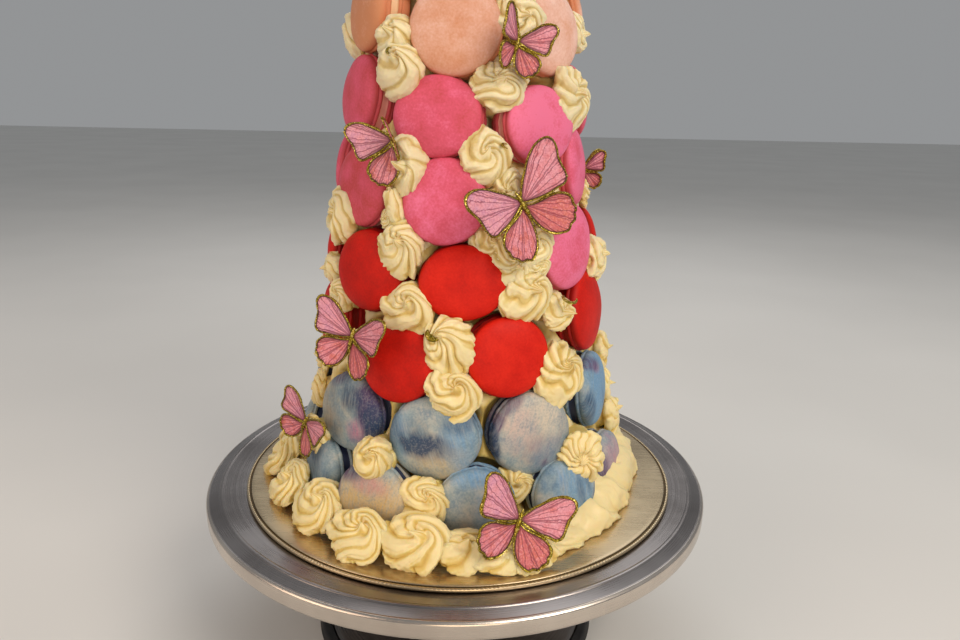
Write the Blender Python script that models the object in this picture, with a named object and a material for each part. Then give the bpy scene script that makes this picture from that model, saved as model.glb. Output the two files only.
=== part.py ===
"""Macaron tower on a revolving cake stand.

A cone of buttercream is set with rings of macarons. Piped swirls fill the gaps
between them, a piped border runs round the foot, and butterflies of wafer paper
sit on the swirls. Metres, +Z up, the origin on the floor under the turntable's
axis, the decorated front towards -Y. A turn is degrees round the tower: 0 at the
front, positive to the right. A height on the tower is above the cake board.
"""

import math

import bmesh
import bpy
import numpy as np
from mathutils import Matrix, Vector

MM = 0.001
GAP = 0.3 * MM  # clearance between neighbours
ROOM_GAP = 0.45 * MM  # clearance cut round a macaron in the buttercream
SHARP = 40  # degrees: edges that bend more than this look sharp

# Stand: a rubber ring under a metal foot, a turning plate and a foil board on it
FOOT_RADIUS = 89 * MM
FOOT_WALL = 7 * MM
FOOT_HEIGHT = 6 * MM
BASE_RISE = 1 * MM  # the metal foot's underside stays clear of the floor
HUB_RADIUS = 30 * MM
PLATE_RADIUS = 150 * MM
PLATE_FLAT_RADIUS = 141 * MM
PLATE_BEVEL_DROP = 3.2 * MM
PLATE_THICKNESS = 13 * MM
BOARD_RADIUS = 127 * MM
BOARD_THICKNESS = 2.2 * MM
BOARD_TOP = 108 * MM
BOARD_CENTRE = Vector((1.4 * MM, -5.4 * MM, 0))
PLATE_TOP = BOARD_TOP - BOARD_THICKNESS - GAP
STAND_SIDES = 40

# Tower: the outer faces of the macarons lie on a cone round this axis
TOWER_X = 2.1 * MM
FACE_RADIUS = 94.8 * MM  # of that cone, level with the board
TAPER = 0.1301  # radius lost for each unit of height
LEAN = math.atan(TAPER)
CROWN_START = 270 * MM  # the tower above this height is the crown
CORE_TOP = 452 * MM
CORE_SIDES = 18
# Block that clears the space below the cake board's top
CUTTER_RADIUS = 180 * MM
CUTTER_DEPTH = 40 * MM

# Macaron: two shells on ruffled feet with a filling between
MACARON_RADIUS = 21.5 * MM
MACARON_THICKNESS = 23 * MM
MACARON_SIDES = 10
MACARON_WIDE = 1.02  # width and height as shares of the diameter
MACARON_TALL = 0.98
REST_SIZE = 0.98  # size of the macarons that close a ring at the back
FUSED_SIDES = 9  # of those that are one piece with the buttercream
# ring radii as shares of the radius, at shares of the thickness from the back
MACARON_RINGS = ((0.84, 0.09), (1.0, 0.34), (0.92, 0.5), (1.0, 0.66), (0.84, 0.91))
FUSED_RINGS = ((0.97, -0.07), (1.0, 0.66), (0.84, 0.91))
ROOM_RINGS = ((1.0, 0.02), (1.0, 0.66), (0.84, 0.91))

# Piped swirl: a stem through the gap, a wide head and a pulled peak
SWIRL_SIDES = 6
SWIRL_SINK = 4.5 * MM  # the head's widest ring, behind the macarons' faces
STEM_REACH = 21 * MM
STEM_SHARE = 0.34  # stem radius, and below shoulder and peak, as shares of the half width
SHOULDER_RADIUS = 0.62
SHOULDER_HEIGHT = 0.45
PEAK = (0.1, 0.12, 0.72)
SUMMIT = dict(rise=6 * MM, width=40, stem=10 * MM)
MERGE = 0.02 * MM
MELT = 2.5  # degrees: flatter edges than this are melted out of the fused pieces

# Border: the ridge's (turn, outer radius in mm, height in mm), and how a rosette sits on it
BORDER_FORM = (
    (-180, 106, 11), (-120, 104, 11), (-60, 104, 11), (-40, 106, 10), (-24, 111, 8),
    (-10, 108, 8), (0, 110, 8), (10, 114, 7), (20, 117, 7), (30, 116, 9), (40, 113, 14),
    (50, 110, 20), (62, 107.5, 24), (84, 107.5, 25), (105, 108, 22), (125, 106, 12),
    (180, 106, 11),
)
BORDER_SIDES = 36
BORDER_ROOT = 10 * MM  # the ridge starts this far behind the macarons' backs
BORDER_LIP = 1.5 * MM  # the outer face leans in by this at half the height
BORDER_SHOULDER = 9 * MM  # and the top's edge lies this far in
BORDER_TIP = math.radians(48)
BORDER_PROUD = 2.5 * MM
BORDER_STEM = 13 * MM

# Each ring of macarons: its height in mm, the macarons of the decorated side as
# (turn, lift in mm, size, and for some how far out of line), and how many more close the
# ring at the back, with their lift.
ROWS = (
    dict(height=20.5, rest=(5, 0), colour="marbled", outset=6, front=(
        (-55, -1, 0.86, -1), (-27, -0.7, 0.9, 4), (6.5, 0, 0.9), (38, -1, 0.86, 2), (65, -1, 0.86))),
    dict(height=54.5, rest=(4, 3), colour="marbled", front=(
        (-47, 1.5, 1.0), (-8, -1, 1.0), (28, -0.5, 1.0), (67, 8, 1.0))),
    dict(height=94, rest=(4, 4), colour="red", front=(
        (-67, 8, 1.0), (-24, -3.5, 0.99), (19, 0.5, 1.0), (65.5, 14.5, 1.0))),
    dict(height=133.5, rest=(4, 6), colour="red", front=(
        (-87, 4, 1.0), (-39, 1, 1.0), (2, -2, 0.96), (51, 14, 1.01))),
    dict(height=172, rest=(4, 9), colour="pink", front=(
        (-51, 3, 1.0), (-7, -1.5, 0.96), (76, 13, 1.0, -4))),
    dict(height=212, rest=(3, 10.5), colour="pink", front=(
        (-62, 7, 0.98), (-10.5, -2, 0.97), (38, -5, 0.97), (104, 6, 0.97))),
    dict(height=253, rest=(2, 11), colour="peach", front=(
        (-62, 8, 0.98), (-4, -1, 1.0), (46.5, -2, 1.0), (104, 9, 0.98))),
    dict(height=294, rest=(2, 11), colour="peach", front=(
        (-85, 10, 1.0), (-30, 3, 1.0), (26, 0, 1.0), (82, 4, 1.0))),
    dict(height=334, rest=(2, 8), colour="apricot", front=((-58, 4, 1.0), (0, 2, 1.0), (62, 0, 1.0))),
    dict(height=373, rest=(2, 6), colour="apricot", front=((-34, 2, 0.98), (38, 0, 0.98), (110, 3, 0.98))),
    dict(height=411, rest=(1, 2), colour="ivory", front=((-82, 1, 0.96), (4, 0, 0.96), (88, 0, 0.96))),
    dict(height=445, rest=(0, 0), colour="ivory", front=((-48, 0, 0.92), (70, 0, 0.92), (190, 0, 0.92))),
)
CROWN_ROW = 8  # this row and those above it belong to the crown
FUSED_REAR_ROWS = 2  # the rear macarons of the lowest rows are bedded in the buttercream

# Swirls on the decorated side: (turn, height in mm, width in mm), and for those that sit
# on top of a macaron how far they stand out from their usual place
SWIRLS = (
    (27, 256, 23), (80, 254, 22), (-32, 245, 21), (-28, 230, 26), (17, 224, 28), (60, 217, 30),
    (10.6, 191, 28), (-22, 187, 26), (20, 178, 20), (-62, 157, 28), (-26, 163, 17), (-23, 146, 27),
    (29, 150, 25), (78, 135, 27), (-72, 127, 20), (21, 139, 20), (28, 126, 27), (-19, 119, 26),
    (-56, 116, 18), (42, 114, 20), (-4, 102, 27), (41, 82, 28), (-1, 77, 29), (88, 76, 22),
    (-86, 71, 22), (86, 56, 22), (-79, 52, 22), (-26.5, 39, 26, 8), (43, 37, 28, 10), (-58, 34, 18, 4),
    (88, 36, 24, 4), (-9, 23, 25, 6),
)
# The swirls not listed go into the widest gaps of these heights in mm, found on a grid of
# turns and heights. At the back they lie beyond the front turn.
REAR_SWIRLS = dict(count=11, low=26, high=258)
CROWN_SWIRLS = dict(count=11, low=284, high=440)
FRONT_TURN = 96
GRID_STEP = 2.0
SWIRL_MARGIN = 3
SWIRL_EXTRA = 16  # a swirl laps over its gap by this much in all
LEAST_WIDTH = 20.0
MOST_WIDTH = 28.0
# Border rosettes: (turn, width in mm) in front, and a step and width for the back
BORDER_SWIRLS = (
    (-98, 29), (-80, 28), (-61, 27), (-42, 29), (-24, 27), (-9.5, 29), (2.5, 22), (11, 20), (19, 18),
)
BORDER_REAR = dict(first=132, last=242, count=6, width=32)

# Butterflies: turn and height of the body in mm, distance out from the macarons'
# faces in mm, span in mm, the head's turn from upright, each pair of wings' lift, and
# for some how far the body leans back or turns aside from the tower's face, or how small
# the right wings are beside the left ones
BUTTERFLIES = (
    dict(turn=21, height=242, out=6, span=32, head=18, left=40, right=14),
    dict(turn=-25, height=197, out=7, span=41, head=-26, left=8, right=66, small=0.55),
    dict(turn=21.5, height=169.5, out=7, span=53, head=-33, left=16, right=9),
    dict(turn=96, height=181, out=-3, span=25, head=0, left=62, right=70),
    dict(turn=-36, height=101, out=9, span=42, head=12, left=10, right=22, yaw=14),
    dict(turn=-58, height=45, out=10, span=36, head=26, left=20, right=8, yaw=14),
    dict(turn=15.4, height=14.6, out=25.6, span=46, head=24, left=14, right=14, lean=15),
    dict(turn=-8, height=352, out=7, span=38, head=-16, left=24, right=30),
)
WING_THICKNESS = 0.8 * MM
BODY_RADIUS = 1.3 * MM
BODY_SIDES = 5
# the body's tail, lower end, upper end and head along it, as shares of the span
BODY_SPAN = (-0.18, -0.12, 0.09, 0.13)
# the upper and the lower wing: angle from the head, length and half breadth as shares of
# the span, then the outline's fullness and how far out it is broadest
LEAVES = ((68, 0.55, 0.18, 0.8, 1.35), (139, 0.48, 0.17, 0.8, 1.3))
WING_STEPS = (0.0, 0.24, 0.56, 0.86, 1.0)

COLOURS = dict(
    marbled=(0.42, 0.50, 0.62), red=(0.55, 0.02, 0.015), pink=(0.72, 0.17, 0.26),
    peach=(0.78, 0.44, 0.30), apricot=(0.85, 0.62, 0.45), ivory=(0.86, 0.78, 0.62),
)


def clear_scene():
    for obj in list(bpy.data.objects):
        bpy.data.objects.remove(obj, do_unlink=True)


def material(name, colour, roughness, metallic=0.0):
    made = bpy.data.materials.get(name)
    if made:
        return made
    made = bpy.data.materials.new(name)
    made.use_nodes = True
    shader = made.node_tree.nodes["Principled BSDF"]
    shader.inputs["Base Color"].default_value = (*colour, 1)
    shader.inputs["Roughness"].default_value = roughness
    shader.inputs["Metallic"].default_value = metallic
    return made


def finish(bm, name, surface, place=None, sharp=SHARP):
    """The bmesh as an object, its normals outwards, smooth but for edges over the sharp angle."""
    bmesh.ops.recalc_face_normals(bm, faces=bm.faces)
    mesh = bpy.data.meshes.new(name)
    bm.to_mesh(mesh)
    bm.free()
    mesh.shade_smooth()
    mesh.set_sharp_from_angle(angle=math.radians(sharp))
    obj = bpy.data.objects.new(name, mesh)
    obj.data.materials.append(surface)
    if place is not None:
        obj.matrix_world = place
    bpy.context.scene.collection.objects.link(obj)
    return obj


def turned(name, profile, surface, centre=Vector(), sides=STAND_SIDES):
    """A solid of revolution: the profile of (radius, height) points spun about the vertical."""
    bm = bmesh.new()
    points = [bm.verts.new((radius, 0, height)) for radius, height in profile]
    closed = min(radius for radius, height in profile) > 0
    loop = points + points[:1] if closed else points
    edges = [bm.edges.new(pair) for pair in zip(loop, loop[1:])]
    bmesh.ops.spin(bm, geom=points + edges, axis=(0, 0, 1), angle=math.tau, steps=sides)
    bmesh.ops.remove_doubles(bm, verts=bm.verts, dist=1e-6)
    return finish(bm, name, surface, Matrix.Translation(centre), sharp=25)


def lofted(rings, start, end):
    """A closed skin over rings of points, each end closed on a point, or flat where that is None."""
    bm = bmesh.new()
    rows = [[bm.verts.new(point) for point in ring] for ring in rings]
    count = len(rows[0])
    for low, high in zip(rows, rows[1:]):
        for i in range(count):
            j = (i + 1) % count
            bm.faces.new((low[i], low[j], high[j], high[i]))
    for row, point in ((rows[0], start), (rows[-1], end)):
        if point is None:
            bm.faces.new(row)
            continue
        tip = bm.verts.new(point)
        for i in range(count):
            bm.faces.new((row[i], row[(i + 1) % count], tip))
    return bm


def oval(width, depth, height, sides):
    """A ring of points with these half widths, level at the height."""
    steps = [math.tau * (i + 0.5) / sides for i in range(sides)]
    return [Vector((width * math.cos(a), depth * math.sin(a), height)) for a in steps]


def face_radius(height):
    return FACE_RADIUS - TAPER * height


def on_face(turn, height, out=0.0, lean=0.0):
    """The frame at a point of the macarons' cone: Z outwards, X to the right, Y up the slope."""
    angle = math.radians(turn)
    across = Vector((math.cos(angle), math.sin(angle), 0))
    level = Vector((math.sin(angle), -math.cos(angle), 0))
    outward = level * math.cos(LEAN + lean) + Vector((0, 0, math.sin(LEAN + lean)))
    upward = outward.cross(across)
    place = level * face_radius(height) + Vector((TOWER_X, 0, BOARD_TOP + height)) + outward * out
    frame = Matrix((across, upward, outward)).transposed().to_4x4()
    frame.translation = place
    return frame


def ring_of_macarons(row):
    """(turn, height, size, out) of every macaron of a row: the front as listed, the rest
    spread evenly over what is left of the ring."""
    front = row["front"]
    first, last = front[0], front[-1]
    count, lift = row["rest"]
    step = (360 - (last[0] - first[0])) / (count + 1)
    rest = [(last[0] + step * i, lift, REST_SIZE) for i in range(1, count + 1)]
    return [
        (turn, (row["height"] + lift) * MM, size, sum(out) * MM)
        for turn, lift, size, *out in (*front, *rest)
    ]


def macaron_shape(size, shares=MACARON_RINGS, grow=0.0):
    """One macaron, its back at z = 0, a little wider than tall; grow widens it all round."""
    radius = MACARON_RADIUS * size + grow
    thick = MACARON_THICKNESS + 2 * grow
    sides = FUSED_SIDES if shares is FUSED_RINGS else MACARON_SIDES
    rings = [
        oval(
            radius * share * MACARON_WIDE, radius * share * MACARON_TALL,
            thick * depth - grow, sides)
        for share, depth in shares
    ]
    back = Vector((0, 0, min(0.0, thick * shares[0][1]) - grow / 2))
    return lofted(rings, back, Vector((0, 0, thick - grow)))


def macaron(name, row, spot, shares=MACARON_RINGS, grow=0.0):
    turn, height, size, out = spot
    out += row.get("outset", 0) * MM - MACARON_THICKNESS
    surface = material("macaron " + row["colour"], COLOURS[row["colour"]], 0.55)
    return finish(macaron_shape(size, shares, grow), name, surface, on_face(turn, height, out))


def macaron_room(name, row, spot):
    """The space a macaron takes in the buttercream: its shape with the gap all round."""
    return macaron(name + " room", row, spot, ROOM_RINGS, ROOM_GAP)


def swirl(name, place, width, surface, stem=STEM_REACH):
    """A piped swirl: a thin stem inwards, the wide head at z = 0 and its peak a little off centre."""
    half = width * MM / 2
    rings = [
        oval(half * STEM_SHARE, half * STEM_SHARE, -stem, SWIRL_SIDES),
        oval(half, half, 0, SWIRL_SIDES),
        oval(half * SHOULDER_RADIUS, half * SHOULDER_RADIUS, half * SHOULDER_HEIGHT, SWIRL_SIDES),
    ]
    bm = lofted(rings, None, Vector(PEAK) * half)
    return finish(bm, name, surface, place)


def face_swirl(spot, surface):
    """A swirl between the macarons: its head sinks a little behind their faces."""
    turn, height, width, *proud = spot
    out = sum(proud) * MM
    place = on_face(turn, height * MM, out - SWIRL_SINK)
    return swirl("swirl", place, width, surface, STEM_REACH + out)


def widest_gaps(spots, wanted, turns):
    """(turn, height in mm, width in mm) of the places farthest from every spot, one after
    another: each place found is a spot for the next. A spot is (turn, height, radius) in mm."""
    heights = np.arange(wanted["low"], wanted["high"], GRID_STEP)
    turn, height = np.meshgrid(turns, heights)
    radius = (FACE_RADIUS - MACARON_THICKNESS / 2) / MM - TAPER * height

    def room_beside(spot):
        away = (turn - spot[0] + 180) % 360 - 180
        across = np.radians(away) * radius
        return np.hypot(across, height - spot[1]) - spot[2]

    room = np.min([room_beside(spot) for spot in spots], axis=0)
    found = []
    for _ in range(wanted["count"]):
        best = np.unravel_index(np.argmax(room), room.shape)
        width = min(MOST_WIDTH, max(LEAST_WIDTH, 2 * float(room[best]) + SWIRL_EXTRA))
        found.append((float(turn[best]), float(height[best]), width))
        room = np.minimum(room, room_beside((*found[-1][:2], width / 2 + SWIRL_MARGIN)))
    return found


def all_swirls():
    """Every swirl of the tower as (turn, height, width): those listed, then those in the
    widest gaps of the back and, all round, of the crown."""
    spots = []
    for row in ROWS:
        for turn, height, size, _ in ring_of_macarons(row):
            spots.append((turn, height / MM, size * MACARON_RADIUS / MM))
    spots += [(turn, height, width / 2 + SWIRL_MARGIN) for turn, height, width, *_ in SWIRLS]
    back = np.arange(FRONT_TURN, 360 - FRONT_TURN, GRID_STEP)
    rear = widest_gaps(spots, REAR_SWIRLS, back)
    spots += [(turn, height, width / 2 + SWIRL_MARGIN) for turn, height, width in rear]
    crown = widest_gaps(spots, CROWN_SWIRLS, np.arange(FRONT_TURN, 360 + FRONT_TURN, GRID_STEP))
    return [*SWIRLS, *rear], crown


def core(name, low, high, surface):
    """The coated cone between two heights, just inside the macarons' backs."""
    sink = MACARON_THICKNESS / math.cos(LEAN) + GAP
    rings = []
    for height in (low, high):
        radius = face_radius(height) - sink
        level = oval(radius, radius, BOARD_TOP + height, CORE_SIDES)
        rings.append([point + Vector((TOWER_X, 0, 0)) for point in level])
    return finish(lofted(rings, None, None), name, surface)


def border_at(turn):
    """The ridge's outer radius and height at a turn, from its form."""
    turns, reaches, heights = zip(*BORDER_FORM)
    turn = (turn + 180) % 360 - 180
    return float(np.interp(turn, turns, reaches)) * MM, float(np.interp(turn, turns, heights)) * MM


def border_ridge(surface):
    """The ridge of buttercream round the foot, broad and high where it was smoothed by hand."""
    inner = face_radius(0) - MACARON_THICKNESS - BORDER_ROOT
    rings = []
    for i in range(BORDER_SIDES):
        turn = 360 * i / BORDER_SIDES
        angle = math.radians(turn)
        out, high = border_at(turn)
        section = (
            (inner, 0), (out, 0), (out - BORDER_LIP, high / 2), (out - BORDER_SHOULDER, high),
            (inner, high),
        )
        rings.append([
            Vector((TOWER_X + r * math.sin(angle), -r * math.cos(angle), BOARD_TOP + z))
            for r, z in section
        ])
    bm = bmesh.new()
    rows = [[bm.verts.new(point) for point in ring] for ring in rings]
    for row, following in zip(rows, rows[1:] + rows[:1]):
        for j in range(len(row)):
            k = (j + 1) % len(row)
            bm.faces.new((row[j], row[k], following[k], following[j]))
    return finish(bm, "border ridge", surface)


def border_swirl(name, turn, width, surface):
    """A rosette on the border, tipped up from the board."""
    half = width * MM / 2
    angle = math.radians(turn)
    level = Vector((math.sin(angle), -math.cos(angle), 0))
    across = Vector((math.cos(angle), math.sin(angle), 0))
    outward = level * math.cos(BORDER_TIP) + Vector((0, 0, math.sin(BORDER_TIP)))
    frame = Matrix((across, outward.cross(across), outward)).transposed().to_4x4()
    lift = BOARD_TOP + GAP + half * math.cos(BORDER_TIP)
    frame.translation = level * (border_at(turn)[0] + BORDER_PROUD) + Vector((TOWER_X, 0, lift))
    return swirl(name, frame, width, surface, BORDER_STEM)


def board_room(surface):
    """The space below the cake board's top, where no buttercream goes."""
    levels = (BOARD_TOP - CUTTER_DEPTH, BOARD_TOP + GAP)
    rings = [oval(CUTTER_RADIUS, CUTTER_RADIUS, height, 4) for height in levels]
    return finish(lofted(rings, None, None), "board room", surface)


def joined(body, operation, others):
    """The body with the others united to it or cut from it; they are then removed."""
    group = bpy.data.collections.new("tools")
    bpy.context.scene.collection.children.link(group)
    for other in others:
        bpy.context.scene.collection.objects.unlink(other)
        group.objects.link(other)
    change = body.modifiers.new("join", "BOOLEAN")
    change.operation = operation
    change.operand_type = "COLLECTION"
    change.collection = group
    change.solver = "MANIFOLD" if operation == "DIFFERENCE" else "EXACT"
    bpy.context.view_layer.update()
    graph = bpy.context.evaluated_depsgraph_get()
    mesh = bpy.data.meshes.new_from_object(body.evaluated_get(graph), depsgraph=graph)
    body.modifiers.clear()
    body.data = mesh
    for other in others:
        bpy.data.objects.remove(other, do_unlink=True)
    bpy.data.collections.remove(group)
    return body


def keep_largest(body):
    """Drops every loose scrap but the main piece, and melts slivers into flat neighbours."""
    bm = bmesh.new()
    bm.from_mesh(body.data)
    bmesh.ops.remove_doubles(bm, verts=bm.verts, dist=MERGE)
    bmesh.ops.dissolve_limit(bm, verts=bm.verts, edges=bm.edges, angle_limit=math.radians(MELT))
    bmesh.ops.triangulate(bm, faces=bm.faces)
    left = set(bm.verts)
    pieces = []
    while left:
        grown, edge = set(), {left.pop()}
        while edge:
            vert = edge.pop()
            grown.add(vert)
            near = {link.other_vert(vert) for link in vert.link_edges}
            edge |= near - grown
        left -= grown
        pieces.append(grown)
    pieces.sort(key=len)
    for piece in pieces[:-1]:
        bmesh.ops.delete(bm, geom=list(piece), context="VERTS")
    bm.to_mesh(body.data)
    bm.free()
    body.data.shade_smooth()
    body.data.set_sharp_from_angle(angle=math.radians(SHARP))


def wing(length, breadth, fullness, broadest):
    """Half outline of a wing as (along, across) points from its root: an egg shape whose
    broad end is the tip."""
    return [
        (length * share, breadth * math.sin(math.pi * share ** broadest) ** fullness)
        for share in WING_STEPS
    ]


def butterfly(name, spec, surface):
    """Two pairs of wings of wafer paper folded up from a thin body. Each wing is a flat
    egg-shaped leaf that leaves the body at its own angle."""
    span = spec["span"] * MM
    half = WING_THICKNESS / 2
    pieces = []
    for side, lift, size in ((-1, spec["left"], span), (1, spec["right"], span * spec.get("small", 1))):
        fold = Matrix.Rotation(-side * math.radians(lift), 4, "Y")
        for turn, length, breadth, fullness, broadest in LEAVES:
            outline = wing(length * size, breadth * size, fullness, broadest)
            loop = outline + [(a, -b) for a, b in reversed(outline[1:-1])]
            angle = math.radians(90 - side * turn)
            direction = Vector((math.cos(angle), math.sin(angle), 0))
            sideways = Vector((-direction.y, direction.x, 0))
            flat = [direction * a + sideways * b for a, b in loop]
            rings = [[fold @ (p + Vector((0, 0, z))) for p in flat] for z in (-half, half)]
            pieces.append(finish(lofted(rings, None, None), name + " wing", surface))
    tail, low, high, head = (share * span for share in BODY_SPAN)
    trunk = [oval(BODY_RADIUS, BODY_RADIUS, z, BODY_SIDES) for z in (low, high)]
    bm = lofted(trunk, Vector((0, 0, tail)), Vector((0, 0, head)))
    bmesh.ops.rotate(bm, verts=bm.verts, cent=(0, 0, 0), matrix=Matrix.Rotation(-math.pi / 2, 3, "X"))
    body = joined(finish(bm, name, surface), "UNION", pieces)
    lean = math.radians(spec.get("lean", 0))
    body.matrix_world = (
        on_face(spec["turn"], spec["height"] * MM, spec["out"] * MM, lean)
        @ Matrix.Rotation(math.radians(spec.get("yaw", 0)), 4, "Y")
        @ Matrix.Rotation(-math.radians(spec["head"]), 4, "Z")
    )
    body.data.materials.clear()
    body.data.materials.append(surface)


def make_stand():
    rubber = material("foot rubber", (0.015, 0.016, 0.018), 0.6)
    steel = material("base steel", (0.45, 0.43, 0.42), 0.35, 1.0)
    aluminium = material("brushed aluminium", (0.66, 0.65, 0.64), 0.32, 1.0)
    foil = material("silver foil", (0.74, 0.70, 0.62), 0.3, 1.0)
    inner = FOOT_RADIUS - FOOT_WALL
    turned("foot_ring", (
        (inner, 0), (FOOT_RADIUS, 0), (FOOT_RADIUS - 1.5 * MM, FOOT_HEIGHT), (inner, FOOT_HEIGHT),
    ), rubber)
    flange = inner - GAP
    plate_base = PLATE_TOP - PLATE_THICKNESS
    turned("base", (
        (0, BASE_RISE), (flange, BASE_RISE), (flange, 5 * MM), (flange - 8 * MM, 8 * MM),
        (46 * MM, 15 * MM), (27 * MM, 30 * MM), (22 * MM, 54 * MM), (22 * MM, plate_base - 12 * MM),
        (HUB_RADIUS, plate_base - 8 * MM), (HUB_RADIUS, plate_base - GAP), (0, plate_base - GAP),
    ), steel, sides=20)
    turned("plate", (
        (0, plate_base), (PLATE_RADIUS - 1.5 * MM, plate_base), (PLATE_RADIUS, plate_base + 1.5 * MM),
        (PLATE_RADIUS, PLATE_TOP - PLATE_BEVEL_DROP), (PLATE_FLAT_RADIUS, PLATE_TOP), (0, PLATE_TOP),
    ), aluminium, sides=56)
    board_base = BOARD_TOP - BOARD_THICKNESS
    turned("board", (
        (0, board_base), (BOARD_RADIUS, board_base), (BOARD_RADIUS, BOARD_TOP), (0, BOARD_TOP),
    ), foil, BOARD_CENTRE, sides=56)


def make_tower():
    cream = material("buttercream", (0.86, 0.74, 0.47), 0.5)
    bedded, cutters, crown_macarons, crown_cutters = [], [], [], []
    for number, row in enumerate(ROWS, 1):
        for place, spot in enumerate(ring_of_macarons(row), 1):
            name = "macaron_%d_%d" % (number, place)
            rear = place > len(row["front"])
            if number >= CROWN_ROW:
                crown_macarons.append(macaron(name + " fused", row, spot, FUSED_RINGS))
                if number == CROWN_ROW:
                    cutters.append(macaron_room(name, row, spot))
            elif rear and number <= FUSED_REAR_ROWS:
                bedded.append(macaron(name + " fused", row, spot, FUSED_RINGS))
            else:
                macaron(name, row, spot)
                cutters.append(macaron_room(name, row, spot))
                if number == CROWN_ROW - 1:
                    crown_cutters.append(macaron_room(name, row, spot))
    listed, crown_swirls = all_swirls()
    heads = [face_swirl(spot, cream) for spot in listed]
    step = (BORDER_REAR["last"] - BORDER_REAR["first"]) / (BORDER_REAR["count"] - 1)
    behind = [
        (BORDER_REAR["first"] + step * i, BORDER_REAR["width"]) for i in range(BORDER_REAR["count"])
    ]
    for turn, width in (*BORDER_SWIRLS, *behind):
        heads.append(border_swirl("border swirl", turn, width, cream))
    body = core("buttercream", GAP, CROWN_START - GAP, cream)
    joined(body, "UNION", [*heads, *bedded, border_ridge(cream)])
    joined(body, "DIFFERENCE", [*cutters, board_room(cream)])
    keep_largest(body)
    crown = core("crown", CROWN_START, CORE_TOP, cream)
    tops = [face_swirl(spot, cream) for spot in crown_swirls]
    summit = Matrix.Translation(Vector((TOWER_X, 0, BOARD_TOP + CORE_TOP + SUMMIT["rise"])))
    tops.append(swirl("summit", summit, SUMMIT["width"], cream, SUMMIT["stem"]))
    joined(crown, "UNION", [*tops, *crown_macarons])
    joined(crown, "DIFFERENCE", crown_cutters)
    keep_largest(crown)


def make_butterflies():
    wafer = material("wafer paper", (0.80, 0.36, 0.42), 0.45)
    for number, spec in enumerate(BUTTERFLIES, 1):
        butterfly("butterfly_%d" % number, spec, wafer)


clear_scene()
make_stand()
make_tower()
make_butterflies()
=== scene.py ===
# Macaron tower on a revolving cake stand: the looks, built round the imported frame.
# Lengths are in millimetres until setMesh turns them to metres. A turn is degrees
# round the tower, 0 in front and positive to the right; heights are above the board.
import itertools
import math

import bpy
import numpy as np
from mathutils import Matrix


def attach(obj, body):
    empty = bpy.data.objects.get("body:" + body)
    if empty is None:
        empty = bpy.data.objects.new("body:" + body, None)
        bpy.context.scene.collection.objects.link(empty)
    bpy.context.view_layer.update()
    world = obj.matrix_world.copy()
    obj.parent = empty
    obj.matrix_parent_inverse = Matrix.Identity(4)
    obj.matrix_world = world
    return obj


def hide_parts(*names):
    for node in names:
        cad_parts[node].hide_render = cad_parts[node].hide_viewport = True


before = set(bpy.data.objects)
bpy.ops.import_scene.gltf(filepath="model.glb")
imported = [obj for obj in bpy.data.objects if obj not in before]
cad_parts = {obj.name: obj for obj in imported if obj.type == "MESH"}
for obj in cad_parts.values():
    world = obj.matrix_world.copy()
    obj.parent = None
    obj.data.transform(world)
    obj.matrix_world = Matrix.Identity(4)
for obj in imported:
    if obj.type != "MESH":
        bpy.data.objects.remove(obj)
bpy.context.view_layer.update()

# the sizes that the solids are built from
stand = dict(
    footRadius=89, footWall=7, footHeight=6, baseRise=1, flange=81.7, plateRadius=150,
    flatRadius=141, bevelDrop=3.2, plateThick=13, plateTop=105.5, boardRadius=127,
    boardThick=2.2, boardTop=108, boardCentre=(1.4, -5.4),
)
tower = dict(
    x=2.1, faceRadius=94.8, taper=0.1301, crownStart=270, coreTop=452, coreGap=0.3,
)
macaron = dict(radius=21.5, thick=23, wide=1.02, tall=0.98)
swirlSink = 4.5
slope = math.atan(tower["taper"])

# rings of macarons: height, (how many close the ring at the back, their lift), flavour
# and the front ones as (turn, lift, size, and for some how far out of line)
rows = (
    dict(height=20.5, rest=(5, 0), flavour="marbled", outset=6, front=(
        (-55, -1, .86, -1), (-27, -.7, .9, 4), (6.5, 0, .9), (38, -1, .86, 2), (65, -1, .86))),
    dict(height=54.5, rest=(4, 3), flavour="marbled", front=(
        (-47, 1.5, 1), (-8, -1, 1), (28, -.5, 1), (67, 8, 1))),
    dict(height=94, rest=(4, 4), flavour="red", front=(
        (-67, 8, 1), (-24, -3.5, .99), (19, .5, 1), (65.5, 14.5, 1))),
    dict(height=133.5, rest=(4, 6), flavour="red", front=(
        (-87, 4, 1), (-39, 1, 1), (2, -2, .96), (51, 14, 1.01))),
    dict(height=172, rest=(4, 9), flavour="pink", front=(
        (-51, 3, 1), (-7, -1.5, .96), (76, 13, 1, -4))),
    dict(height=212, rest=(3, 10.5), flavour="pink", front=(
        (-62, 7, .98), (-10.5, -2, .97), (38, -5, .97), (104, 6, .97))),
    dict(height=253, rest=(2, 11), flavour="peach", front=(
        (-62, 8, .98), (-4, -1, 1), (46.5, -2, 1), (104, 9, .98))),
    dict(height=294, rest=(2, 11), flavour="peach", front=(
        (-85, 10, 1), (-30, 3, 1), (26, 0, 1), (82, 4, 1))),
    dict(height=334, rest=(2, 8), flavour="apricot", front=(
        (-58, 4, 1), (0, 2, 1), (62, 0, 1))),
    dict(height=373, rest=(2, 6), flavour="apricot", front=(
        (-34, 2, .98), (38, 0, .98), (110, 3, .98))),
    dict(height=411, rest=(1, 2), flavour="ivory", front=(
        (-82, 1, .96), (4, 0, .96), (88, 0, .96))),
    dict(height=445, rest=(0, 0), flavour="ivory", front=(
        (-48, 0, .92), (70, 0, .92), (190, 0, .92))),
)
crownRow = 8  # this row and those above it belong to the crown

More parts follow.
